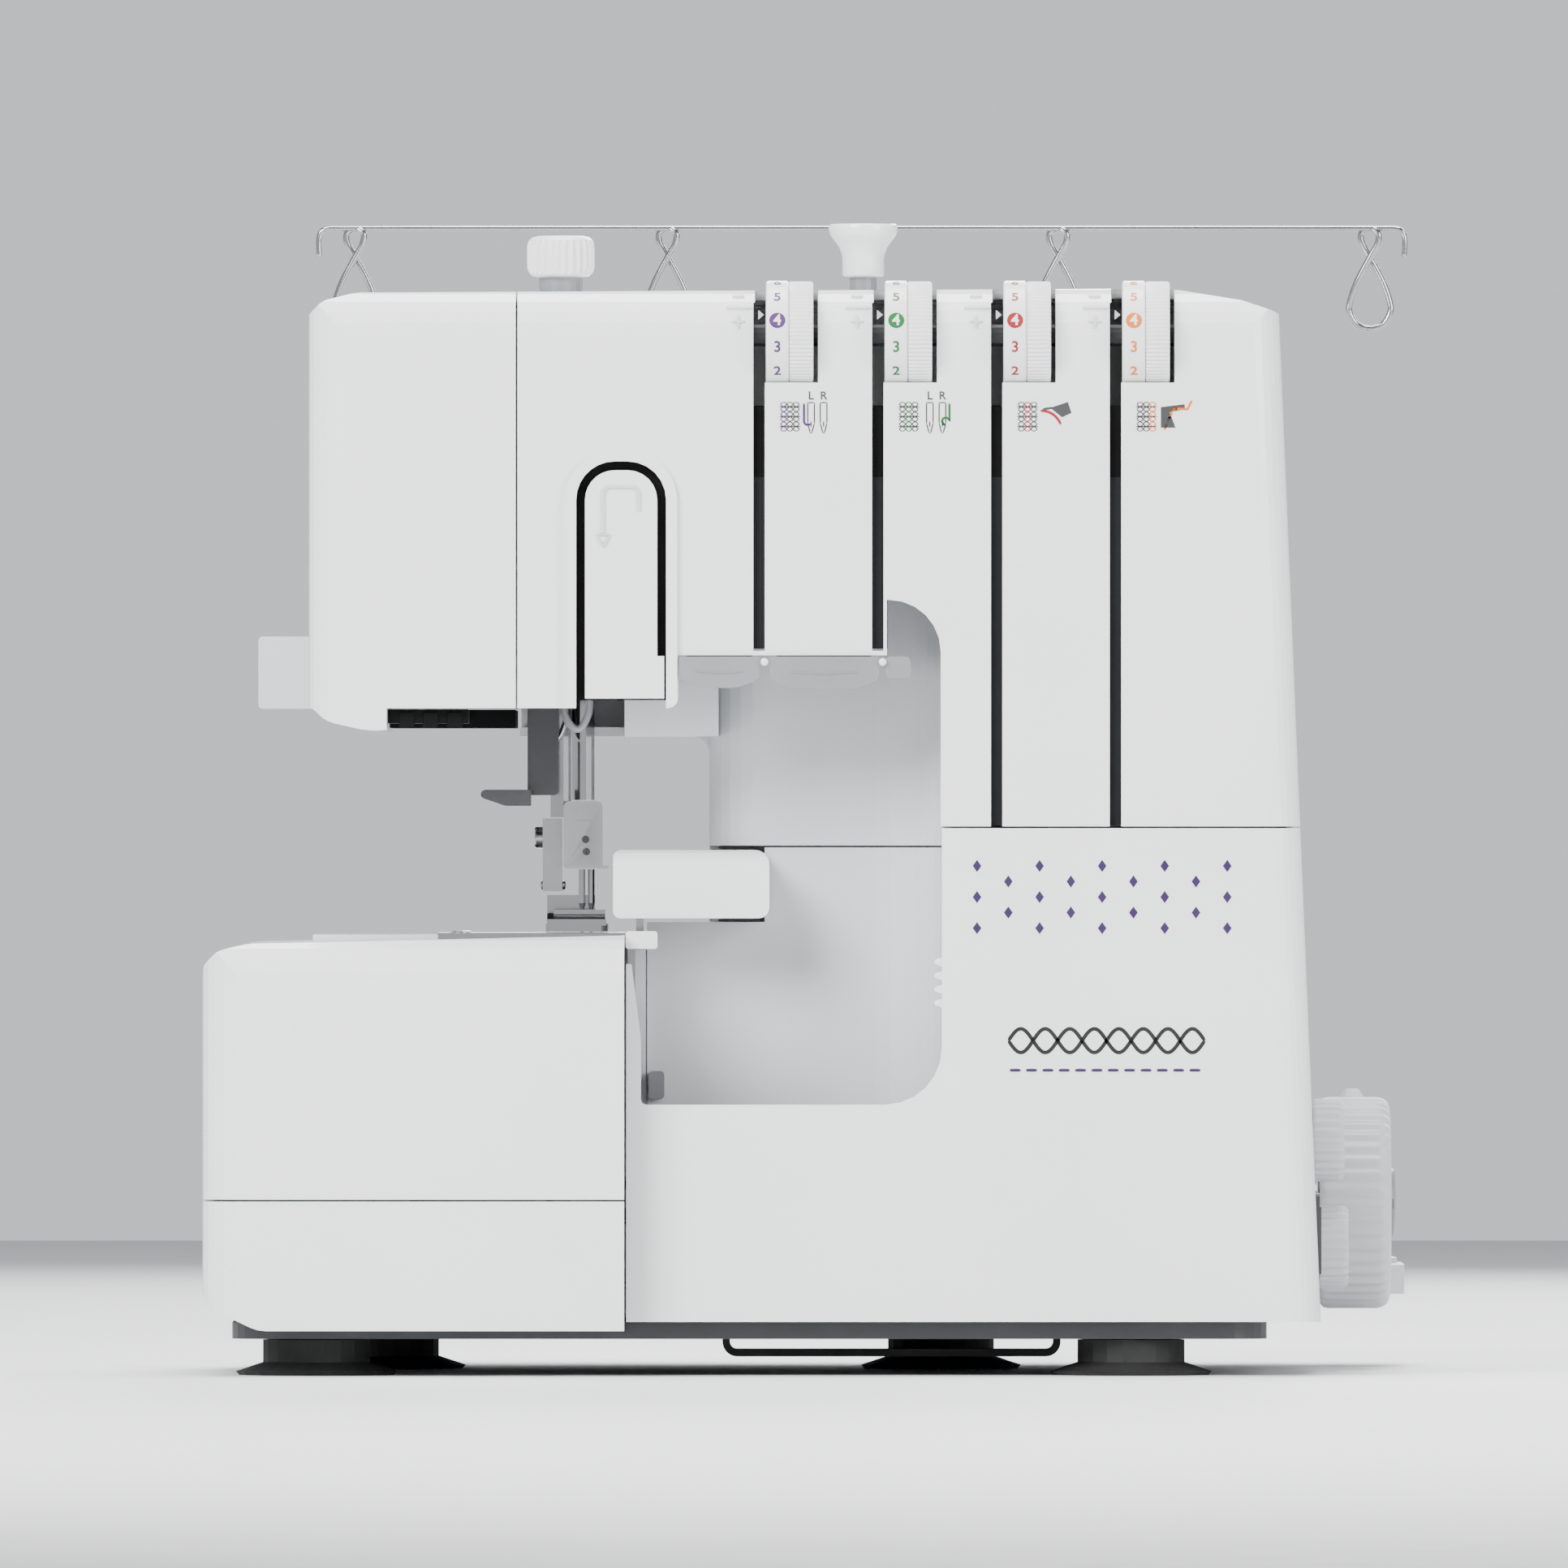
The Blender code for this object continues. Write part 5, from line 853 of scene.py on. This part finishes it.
def thread_pins():
    """Small white pins between the grey guide plates"""
    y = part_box("looper_cover")[0][1]
    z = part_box("thread_guide_middle")[0][2] + 0.0073
    places = (
        (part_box("thread_guide_left")[1][0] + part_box("thread_guide_middle")[0][0]) / 2,
        (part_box("thread_guide_middle")[1][0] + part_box("thread_guide_right")[0][0]) / 2 + 0.0002,
    )
    for number, x in enumerate(places, 1):
        turned_piece("thread_pin_%d" % number, (
            (0.0006, y + 0.0040), (0.0006, y - 0.0008), (0.0010, y - 0.0010), (0.0011, y - 0.0015),
            (0.0009, y - 0.0020), (0.0003, y - 0.0023)), "y", (x, z), 20, "root", BUTTON_WHITE)


def stitch_symbol(bm_grey, bm_colour, skin, x, z, coloured):
    """A small square of overlock stitches: three looped columns, one of them coloured"""
    height = 0.0080
    for column in range(3):
        centre = x + column * 0.0017
        for mirror in (1.0, -1.0):
            path = [(centre + mirror * 0.0008 * math.sin(2 * math.pi * step / 12), z - height * step / 36)
                    for step in range(37)]
            stroke(bm_colour if column == coloured else bm_grey, skin, path, 0.00036)
    for row in range(3):
        level = z - height * (row + 0.5) / 3
        stroke(bm_grey, skin, [(x - 0.0012, level), (x + 0.0046, level)], 0.00036)


def needle_symbol(bm, skin, x, z):
    """The outline of a needle with its eye"""
    half = 0.0009
    outline = moved(x, z, (-half, 0.0), (half, 0.0), (half, -0.0056), (0.0002, -0.0082), (-0.0002, -0.0082),
                    (-half, -0.0056))
    for start, end in zip(outline, outline[1:] + outline[:1]):
        stroke(bm, skin, (start, end), 0.00042)
    stroke(bm, skin, ((x, z - 0.0050), (x, z - 0.0066)), 0.00042)


def thread_symbols():
    """Printed signs under the dials: which thread goes to which needle or looper"""
    skin = Skin("front_cover")
    top = dial_box(0)[0][2] - 0.0022
    for index in range(DIAL_COUNT):
        left = dial_box(index)[0][0] + 0.0040
        grey_ink = bmesh.new()
        colour_ink = bmesh.new()
        coloured = index if index < 2 else index - 1
        stitch_symbol(grey_ink, colour_ink, skin, left + 0.0008, top - 0.0010, coloured)
        spot_x = left + 0.0082
        if index < 2:
            for letter, across in (("L", 0.0), ("R", 0.0034)):
                def spot(a, b, across=across):
                    return skin.at(spot_x + across + a, top + 0.0006 + b, PRINT_HEIGHT)
                write(grey_ink, letter, 0.0031, spot)
            for needle in (0, 1):
                needle_symbol(grey_ink, skin, spot_x + 0.0034 * needle, top - 0.0012)
            x = spot_x + 0.0034 * index
            side = -1 if index == 0 else 1
            stroke(colour_ink, skin, moved(x, top, (side * 0.0019, -0.0014), (side * 0.0019, -0.0048))
                   + arc((x + side * 0.0009, top - 0.0062), 0.0010, 0 if side > 0 else 180, 270, 6)
                   + [(x, top - 0.0070)], 0.0007)
        elif index == 2:
            patch(grey_ink, skin, moved(spot_x, top, (0.0004, -0.0026), (0.0052, -0.0010), (0.0062, -0.0040),
                                        (0.0036, -0.0052)))
            stroke(grey_ink, skin, moved(spot_x, top, (-0.0016, -0.0030), (0.0010, -0.0026)), 0.0007)
            stroke(colour_ink, skin, arc((spot_x - 0.0020, top - 0.0090), 0.0056, 92, 20, 14), 0.0008)
        else:
            patch(grey_ink, skin, moved(spot_x, top, (-0.0018, -0.0024), (0.0046, -0.0016), (0.0048, -0.0030),
                                        (0.0006, -0.0038), (0.0022, -0.0080), (-0.0018, -0.0080)))
            stroke(colour_ink, skin, moved(spot_x, top, (-0.0008, -0.0086), (0.0004, -0.0056))
                   + arc((spot_x + 0.0026, top - 0.0044), 0.0016, 180, 90, 6)
                   + moved(spot_x, top, (0.0054, -0.0030), (0.0066, -0.0006)), 0.0007)
        piece("symbol_grey_%d" % (index + 1), grey_ink, "root", INK_GREY, "dark_plastic", False)
        piece("symbol_thread_%d" % (index + 1), colour_ink, "root", INK_THREAD[index], "dark_plastic", False)


def cover_pattern():
    """Staggered rows of small violet lozenges on the looper cover, and a stitched line below them"""
    skin = Skin("looper_cover")
    low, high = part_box("looper_cover")
    bm = bmesh.new()
    first = high[0] - 0.0930
    pitch = 0.0169
    for row in range(5):
        z = high[2] - 0.0102 - 0.0042 * row
        shift = pitch / 2 if row % 2 else 0.0
        for column in range(4 if row % 2 else 5):
            x = first + shift + pitch * column
            patch(bm, skin, moved(x, z, (-0.0012, 0.0), (0.0, -0.0017), (0.0012, 0.0), (0.0, 0.0017)))
    piece("cover_pattern", bm, "looper_cover", INK_VIOLET, smooth=False)
    line = bmesh.new()
    start = high[0] - 0.0845
    z = low[2] + 0.0760
    for phase in (0.0, math.pi):
        path = [(start + 0.0530 * step / 160, z + 0.0032 * math.sin(phase + 8 * math.pi * step / 160))
                for step in range(161)]
        stroke(line, skin, path, 0.0011)
    piece("cover_stitch_line", line, "looper_cover", INK, smooth=False)
    dashes = bmesh.new()
    for dash in range(12):
        x = start + 0.0003 + dash * 0.0530 / 12
        stroke(dashes, skin, [(x, z - 0.0080), (x + 0.0030, z - 0.0080)], 0.0009)
    piece("cover_dashes", dashes, "looper_cover", INK_VIOLET, smooth=False)


def grip_ribs():
    """Four ribs on the edge of the looper cover, for the finger that opens it"""
    low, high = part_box("looper_cover")
    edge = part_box("lower_throat_wall")[1][0] - 0.0025
    top = high[2] - 0.0362
    bm = bmesh.new()
    for rib in range(4):
        z = top - 0.0037 * rib
        rings = []
        for depth, reach in ((low[1] + 0.0003, 0.0010), (low[1] + 0.0008, 0.0021), (low[1] + 0.0018, 0.0022),
                             (low[1] + 0.0024, 0.0018)):
            rings.append([(edge - reach * math.sin(math.pi * step / 8), depth,
                           z + 0.0012 * math.cos(math.pi * step / 8)) for step in range(9)])
        sweep_rings(bm, rings)
    piece("grip_ribs", bm, "looper_cover", WHITE)


# ---- Needle area ----
def needle_details():
    """Lip, screws and a square mark of the needle clamp"""
    low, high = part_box("needle_clamp")
    skin = Skin("needle_clamp")
    bm = bmesh.new()
    x = (low[0] + high[0]) / 2 + 0.0002
    z = high[2] - 0.0036
    corners = [(x + across * 0.0021, z + up * 0.0017) for across, up in ((-1, -1), (1, -1), (1, 1), (-1, 1))]
    for ends in zip(corners, corners[1:] + corners[:1]):
        stroke(bm, skin, ends, 0.0004, 0.00015)
    block(bm, shifted(low, 0.0004, -0.0004, -0.0001), (high[0] + 0.0016, low[1] + 0.0030, low[2] + 0.0007))
    piece("clamp_lip", bm, "needle_unit", STEEL, "steel")
    for index, (across, up) in enumerate(((0.0060, 0.0078), (0.0062, 0.0045))):
        screw("needle_screw_%d" % (index + 1), (low[0] + across, low[2] + up, low[1] + 0.0002), "y", -1.0,
              0.0010, 0.0006, "needle_unit", DARK, 0.6 + index)


def foot_details():
    """Toe, pin, a black block low at the back, and screw of the presser foot"""
    low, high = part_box("presser_foot")
    left = low[0] + 0.0022
    right = high[0] - 0.0008
    bm = bmesh.new()
    rings = []
    for step in range(9):
        share = step / 8
        y = low[1] + 0.0052 - 0.0048 * share
        lift = 0.0026 * share ** 2
        bottom = low[2] + 0.0022 + lift
        top = low[2] + 0.0034 + lift
        rings.append([(left, y, bottom), (right, y, bottom), (right, y, top), (left, y, top)])
    sweep_rings(bm, rings)
    piece("foot_toe", bm, "presser_unit", CHROME, "chrome")
    ankle_low, ankle_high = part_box("presser_ankle")
    ankle_y = (ankle_low[1] + ankle_high[1]) / 2
    turned_piece("foot_pin", (
        (0.0007, ankle_low[0] - 0.0006), (0.0012, ankle_low[0] - 0.0004), (0.0012, ankle_low[0] + 0.0001),
        (0.0012, ankle_high[0] + 0.0008), (0.0007, ankle_high[0] + 0.0010)),
        "x", (ankle_y, ankle_low[2] + 0.0016), 24, "presser_unit", STEEL, "steel")
    bm = bmesh.new()
    block(bm, shifted(low, 0.0004, 0.0066, 0.0023), shifted(low, 0.0052, 0.0098, 0.0050))
    black_block = piece("foot_black_block", bm, "presser_unit", BLACK_AND_SHADE, "dark_plastic")
    soften(black_block, 0.0004)
    screw("ankle_screw", (ankle_y, ankle_high[2] - 0.0052, ankle_low[0]), "x", -1.0,
          0.0030, 0.0022, "presser_unit", STEEL, 0.9)


def under_head():
    """Black boxes of painted shade for the dark inside seen below the head, and thread levers"""
    face_low, face_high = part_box("face_cover")
    notch_left = face_low[0] + 0.0214
    notch_right = face_high[0] - 0.0003
    bottom = face_low[2] + 0.0006
    top = face_low[2] + 0.0056
    threader_low, threader_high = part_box("needle_threader")
    bm = bmesh.new()
    block(bm, (notch_left, threader_high[1] + 0.0030, bottom), (notch_right, 0.0300, top))
    block(bm, (notch_left, face_low[1] + 0.0040, bottom + 0.0012),
          (threader_low[0] - 0.0030, threader_high[1], top))
    for rib in range(3):
        x = notch_left + 0.0030 + 0.0065 * rib
        block(bm, (x, face_low[1] + 0.0036, bottom + 0.0002),
              (x + 0.0042, face_low[1] + 0.0048, top - 0.0006))
    # painted shade of the inside of the head
    shade_boxes = piece("head_shade_boxes", bm, "root", BLACK_AND_SHADE, "dark_plastic")
    soften(shade_boxes, 0.0003)
    clamp_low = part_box("needle_clamp")[0]
    y = clamp_low[1] - 0.0040
    x = clamp_low[0]
    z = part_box("takeup_cover")[0][2]
    for name, points, radius, material in (
        ("thread_lever_1", ((-0.0010, 0.0, 0.0020), (0.0006, -0.0010, -0.0050), (0.0040, -0.0016, -0.0082),
                            (0.0068, -0.0010, -0.0040), (0.0072, 0.0, 0.0020)), 0.0010, PALE_GREY),
        ("thread_lever_2", ((-0.0046, 0.0030, 0.0020), (-0.0042, 0.0030, -0.0060), (-0.0020, 0.0024, -0.0110),
                            (0.0006, 0.0020, -0.0060), (0.0012, 0.0020, 0.0020)), 0.0008, WIRE),
    ):
        bm = bmesh.new()
        wire(bm, smooth_path([Vector((x + a, y + b, z + c)) for a, b, c in points], 8), radius)
        piece(name, bm, "root", material, "steel")


def needle_plate_details():
    """Screws and seam guide marks of the needle plate"""
    low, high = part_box("needle_plate")
    for index, (x, y) in enumerate(((low[0] + 0.0060, low[1] + 0.0080), (low[0] + 0.0060, high[1] - 0.0100))):
        screw("plate_screw_%d" % (index + 1), (x, y, high[2] - 0.0004), "z", 1.0, 0.0026, 0.0008, "root",
              STEEL, 0.5 + index)
    skin = Skin("needle_plate", "z", -1.0)
    bm = bmesh.new()
    for line in range(5):
        y = low[1] + 0.0040
        x = high[0] - 0.0100 - 0.0030 * line
        stroke(bm, skin, ((x, y), (x, y + (0.0100 if line % 2 == 0 else 0.0070))), 0.00025)
    piece("plate_seam_marks", bm, "root", INK, "steel", False)


# ---- Back, right side and thread stand ----
def vents():
    """Rows of air slots in the back, near the motor, each a black patch of painted shade with a raised rim"""
    skin = Skin("rear_cover", "y", -1.0)
    motor_low, motor_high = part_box("motor")
    rims = bmesh.new()
    hole_shade = bmesh.new()
    for row in range(8):
        z = motor_low[2] + 0.0740 + 0.0070 * row
        left = motor_low[0] - 0.0100
        right = motor_high[0] + 0.0080
        outline = arc((right, z), 0.0014, -90, 90, 8) + arc((left, z), 0.0014, 90, 270, 8)
        patch(hole_shade, skin, outline)
        rim = arc((right, z), 0.0019, -90, 90, 8) + arc((left, z), 0.0019, 90, 270, 8)
        stroke(rims, skin, rim + [rim[0]], 0.0007, 0.0004, 0.0020)
    # the slots are black patches of painted shade, not holes
    piece("vent_slot_shade", hole_shade, "root", BLACK_AND_SHADE, "dark_plastic", False)
    piece("vent_rims", rims, "root", WHITE)


def cover_screws():
    """Screws that hold the back on, each on a dark ring of painted shade that stands for its well"""
    low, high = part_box("rear_cover")
    stand_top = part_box("spool_stand")[1][2]
    places = (
        (low[0] + 0.0420, high[2] - 0.0160), (0.0, high[2] - 0.0160), (high[0] - 0.0250, high[2] - 0.0160),
        (low[0] + 0.0180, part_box("cloth_plate")[1][2] - 0.0200), (high[0] - 0.0140, stand_top + 0.0120),
    )
    for index, (x, z) in enumerate(places):
        # dark rings of painted shade for the screw wells
        turned_piece("screw_well_%d" % (index + 1), (
            (0.0048, high[1] - 0.0002), (0.0050, high[1] + 0.0001), (0.0040, high[1] + 0.0002),
            (0.0036, high[1] + 0.00005)), "y", (x, z), 32, "root", DARK, "dark_plastic")
        screw("cover_screw_%d" % (index + 1), (x, z, high[1] + 0.0001), "y", 1.0, 0.0030, 0.0007, "root",
              STEEL, index)


def side_marks():
    """Numbers on the two dials of the right side, with a pointer above each, and the signs of the switch"""
    casing = Skin("rear_cover", "x", -1.0)
    pointers = bmesh.new()
    for node, numbers in (("stitch_length_dial", "12345"), ("differential_dial", "0123")):
        low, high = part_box(node)
        y, z = box_middle(low, high, "yz")
        radius = (high[2] - low[2]) / 2
        marks = bmesh.new()
        for index, number in enumerate(numbers):
            turn = math.radians(40.0 * (index - (len(numbers) - 1) / 2))
            centre = (0.62 * radius * math.sin(turn), 0.62 * radius * math.cos(turn))

            def spot(across, up, centre=centre, y=y, z=z, x=high[0]):
                return (x + PRINT_HEIGHT, y + centre[0] + across, z + centre[1] + up)

            write(marks, number, 0.0030, spot)
        piece(node + "_numbers", marks, node, INK_GREY, "dark_plastic", False)
        patch(pointers, casing, [(y - 0.0012, z + radius + 0.0034), (y, z + radius + 0.0014),
                                 (y + 0.0012, z + radius + 0.0034)])
    piece("side_pointers", pointers, "root", INK_GREY, "dark_plastic", False)
    low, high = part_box("power_switch")
    rocker = Skin("power_switch", "x", -1.0)
    y = (low[1] + high[1]) / 2
    bm = bmesh.new()
    stroke(bm, rocker, ((y, high[2] - 0.0030), (y, high[2] - 0.0062)), 0.0006)
    stroke(bm, rocker, arc((y, low[2] + 0.0046), 0.0015, 0, 360, 20), 0.0006)
    piece("switch_signs", bm, "power_switch", BUTTON_WHITE, smooth=False)
    low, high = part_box("power_inlet")
    bm = bmesh.new()
    y, middle = box_middle(low, high, "yz")
    for z in (middle - 0.0036, middle + 0.0036):
        turned(bm, ((0.0011, low[0] + 0.0022), (0.0011, high[0] - 0.0026), (0.0006, high[0] - 0.0020)),
               "x", (y, z), 20)
    piece("inlet_pins", bm, "root", STEEL, "steel")


def wheel_cap():
    """Cap in the middle of the handwheel, and two marks on its face"""
    low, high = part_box("handwheel")
    centre = box_middle(low, high, "yz")
    turned_piece("handwheel_cap", (
        (0.0095, high[0] - 0.0002), (0.0093, high[0] + 0.0004), (0.0084, high[0] + 0.0008),
        (0.0040, high[0] + 0.0010), (0.0003, high[0] + 0.0010)), "x", centre, 48,
        "main_drive", GREY, "grey_plastic")
    bm = bmesh.new()
    for mark in range(2):
        angle = math.pi * mark
        reach = 0.0200
        y = centre[0] + reach * math.cos(angle)
        z = centre[1] + reach * math.sin(angle)
        turned(bm, ((0.0016, high[0] - 0.0001), (0.0015, high[0] + 0.00012), (0.0002, high[0] + 0.00014)),
               "x", (y, z), 24)
    piece("handwheel_marks", bm, "main_drive", INK_GREY, "dark_plastic")


# ---- Scene ----
def area_light(name, place_at, target, size, power):
    """A soft rectangular light that faces target and that the camera doesn't see"""
    light = bpy.data.lights.new(name, "AREA")
    light.shape = "RECTANGLE"
    light.size = size[0]
    light.size_y = size[1]
    light.energy = power
    made = linked(name, light)
    made.location = place_at
    made.rotation_euler = (Vector(target) - Vector(place_at)).to_track_quat("-Z", "Y").to_euler()
    made.visible_camera = False


def studio():
    """Four soft lights, and a world that darkens upward"""
    middle = (0.0, -0.04, 0.16)
    area_light("key", (-1.3, -1.9, 1.5), middle, (1.3, 1.0), 118.0)
    area_light("fill", (1.7, -1.5, 0.9), middle, (1.0, 1.2), 46.0)
    area_light("top", (0.0, 0.1, 1.9), middle, (1.4, 1.0), 60.0)
    area_light("back", (0.5, 2.0, 1.1), middle, (1.4, 0.9), 55.0)
    world = bpy.data.worlds.new("studio")
    world.use_nodes = True
    tree = world.node_tree
    height = tree.nodes.new("ShaderNodeSeparateXYZ")
    tree.links.new(tree.nodes.new("ShaderNodeTexCoord").outputs["Generated"], height.inputs["Vector"])
    ramp = tree.nodes.new("ShaderNodeValToRGB")
    stops = ((0.10, (0.80, 0.81, 0.84, 1.0)), (0.75, (0.30, 0.31, 0.34, 1.0)))
    for element, (position, colour) in zip(ramp.color_ramp.elements, stops):
        element.position = position
        element.color = colour
    tree.links.new(height.outputs["Z"], ramp.inputs["Fac"])
    tree.links.new(ramp.outputs["Color"], tree.nodes["Background"].inputs["Color"])
    tree.nodes["Background"].inputs["Strength"].default_value = 0.95
    bpy.context.scene.world = world


def floor():
    """A plain pale floor, wide enough to reach the horizon"""
    material = shaded("studio_floor", grey(0.72, 0.02), grey(0.70, 0.02), (0.55, 0.65), 400.0, 0.0)
    bm = bmesh.new()
    bm.faces.new([bm.verts.new(point + (0.0,)) for point in arc((0.0, 0.0), FLOOR_RADIUS, 0, 357, 119)])
    linked("floor", mesh_of(bm, "floor", material))


def camera():
    """A long lens level with the middle of the machine, square to its front"""
    data = bpy.data.cameras.new("camera")
    data.sensor_width = 36.0
    data.lens = data.sensor_width * (CAMERA_DISTANCE - FRONT_DEPTH) / VIEW_WIDTH
    data.clip_end = 200.0
    made = linked("camera", data)
    made.location = (VIEW_X, -CAMERA_DISTANCE, VIEW_Z)
    made.rotation_euler = (math.pi / 2, 0.0, 0.0)
    bpy.context.scene.camera = made


camera()
studio()
floor()
dress_nodes()
tension_dials()
guide_wire()
pressure_knob()
bar_holder()
thread_slots()
dial_signs()
threading_arrow()
inner_panels()
guide_lines()
thread_pins()
thread_symbols()
cover_pattern()
grip_ribs()
needle_details()
foot_details()
under_head()
needle_plate_details()
vents()
cover_screws()
side_wheels()
side_marks()
wheel_cap()
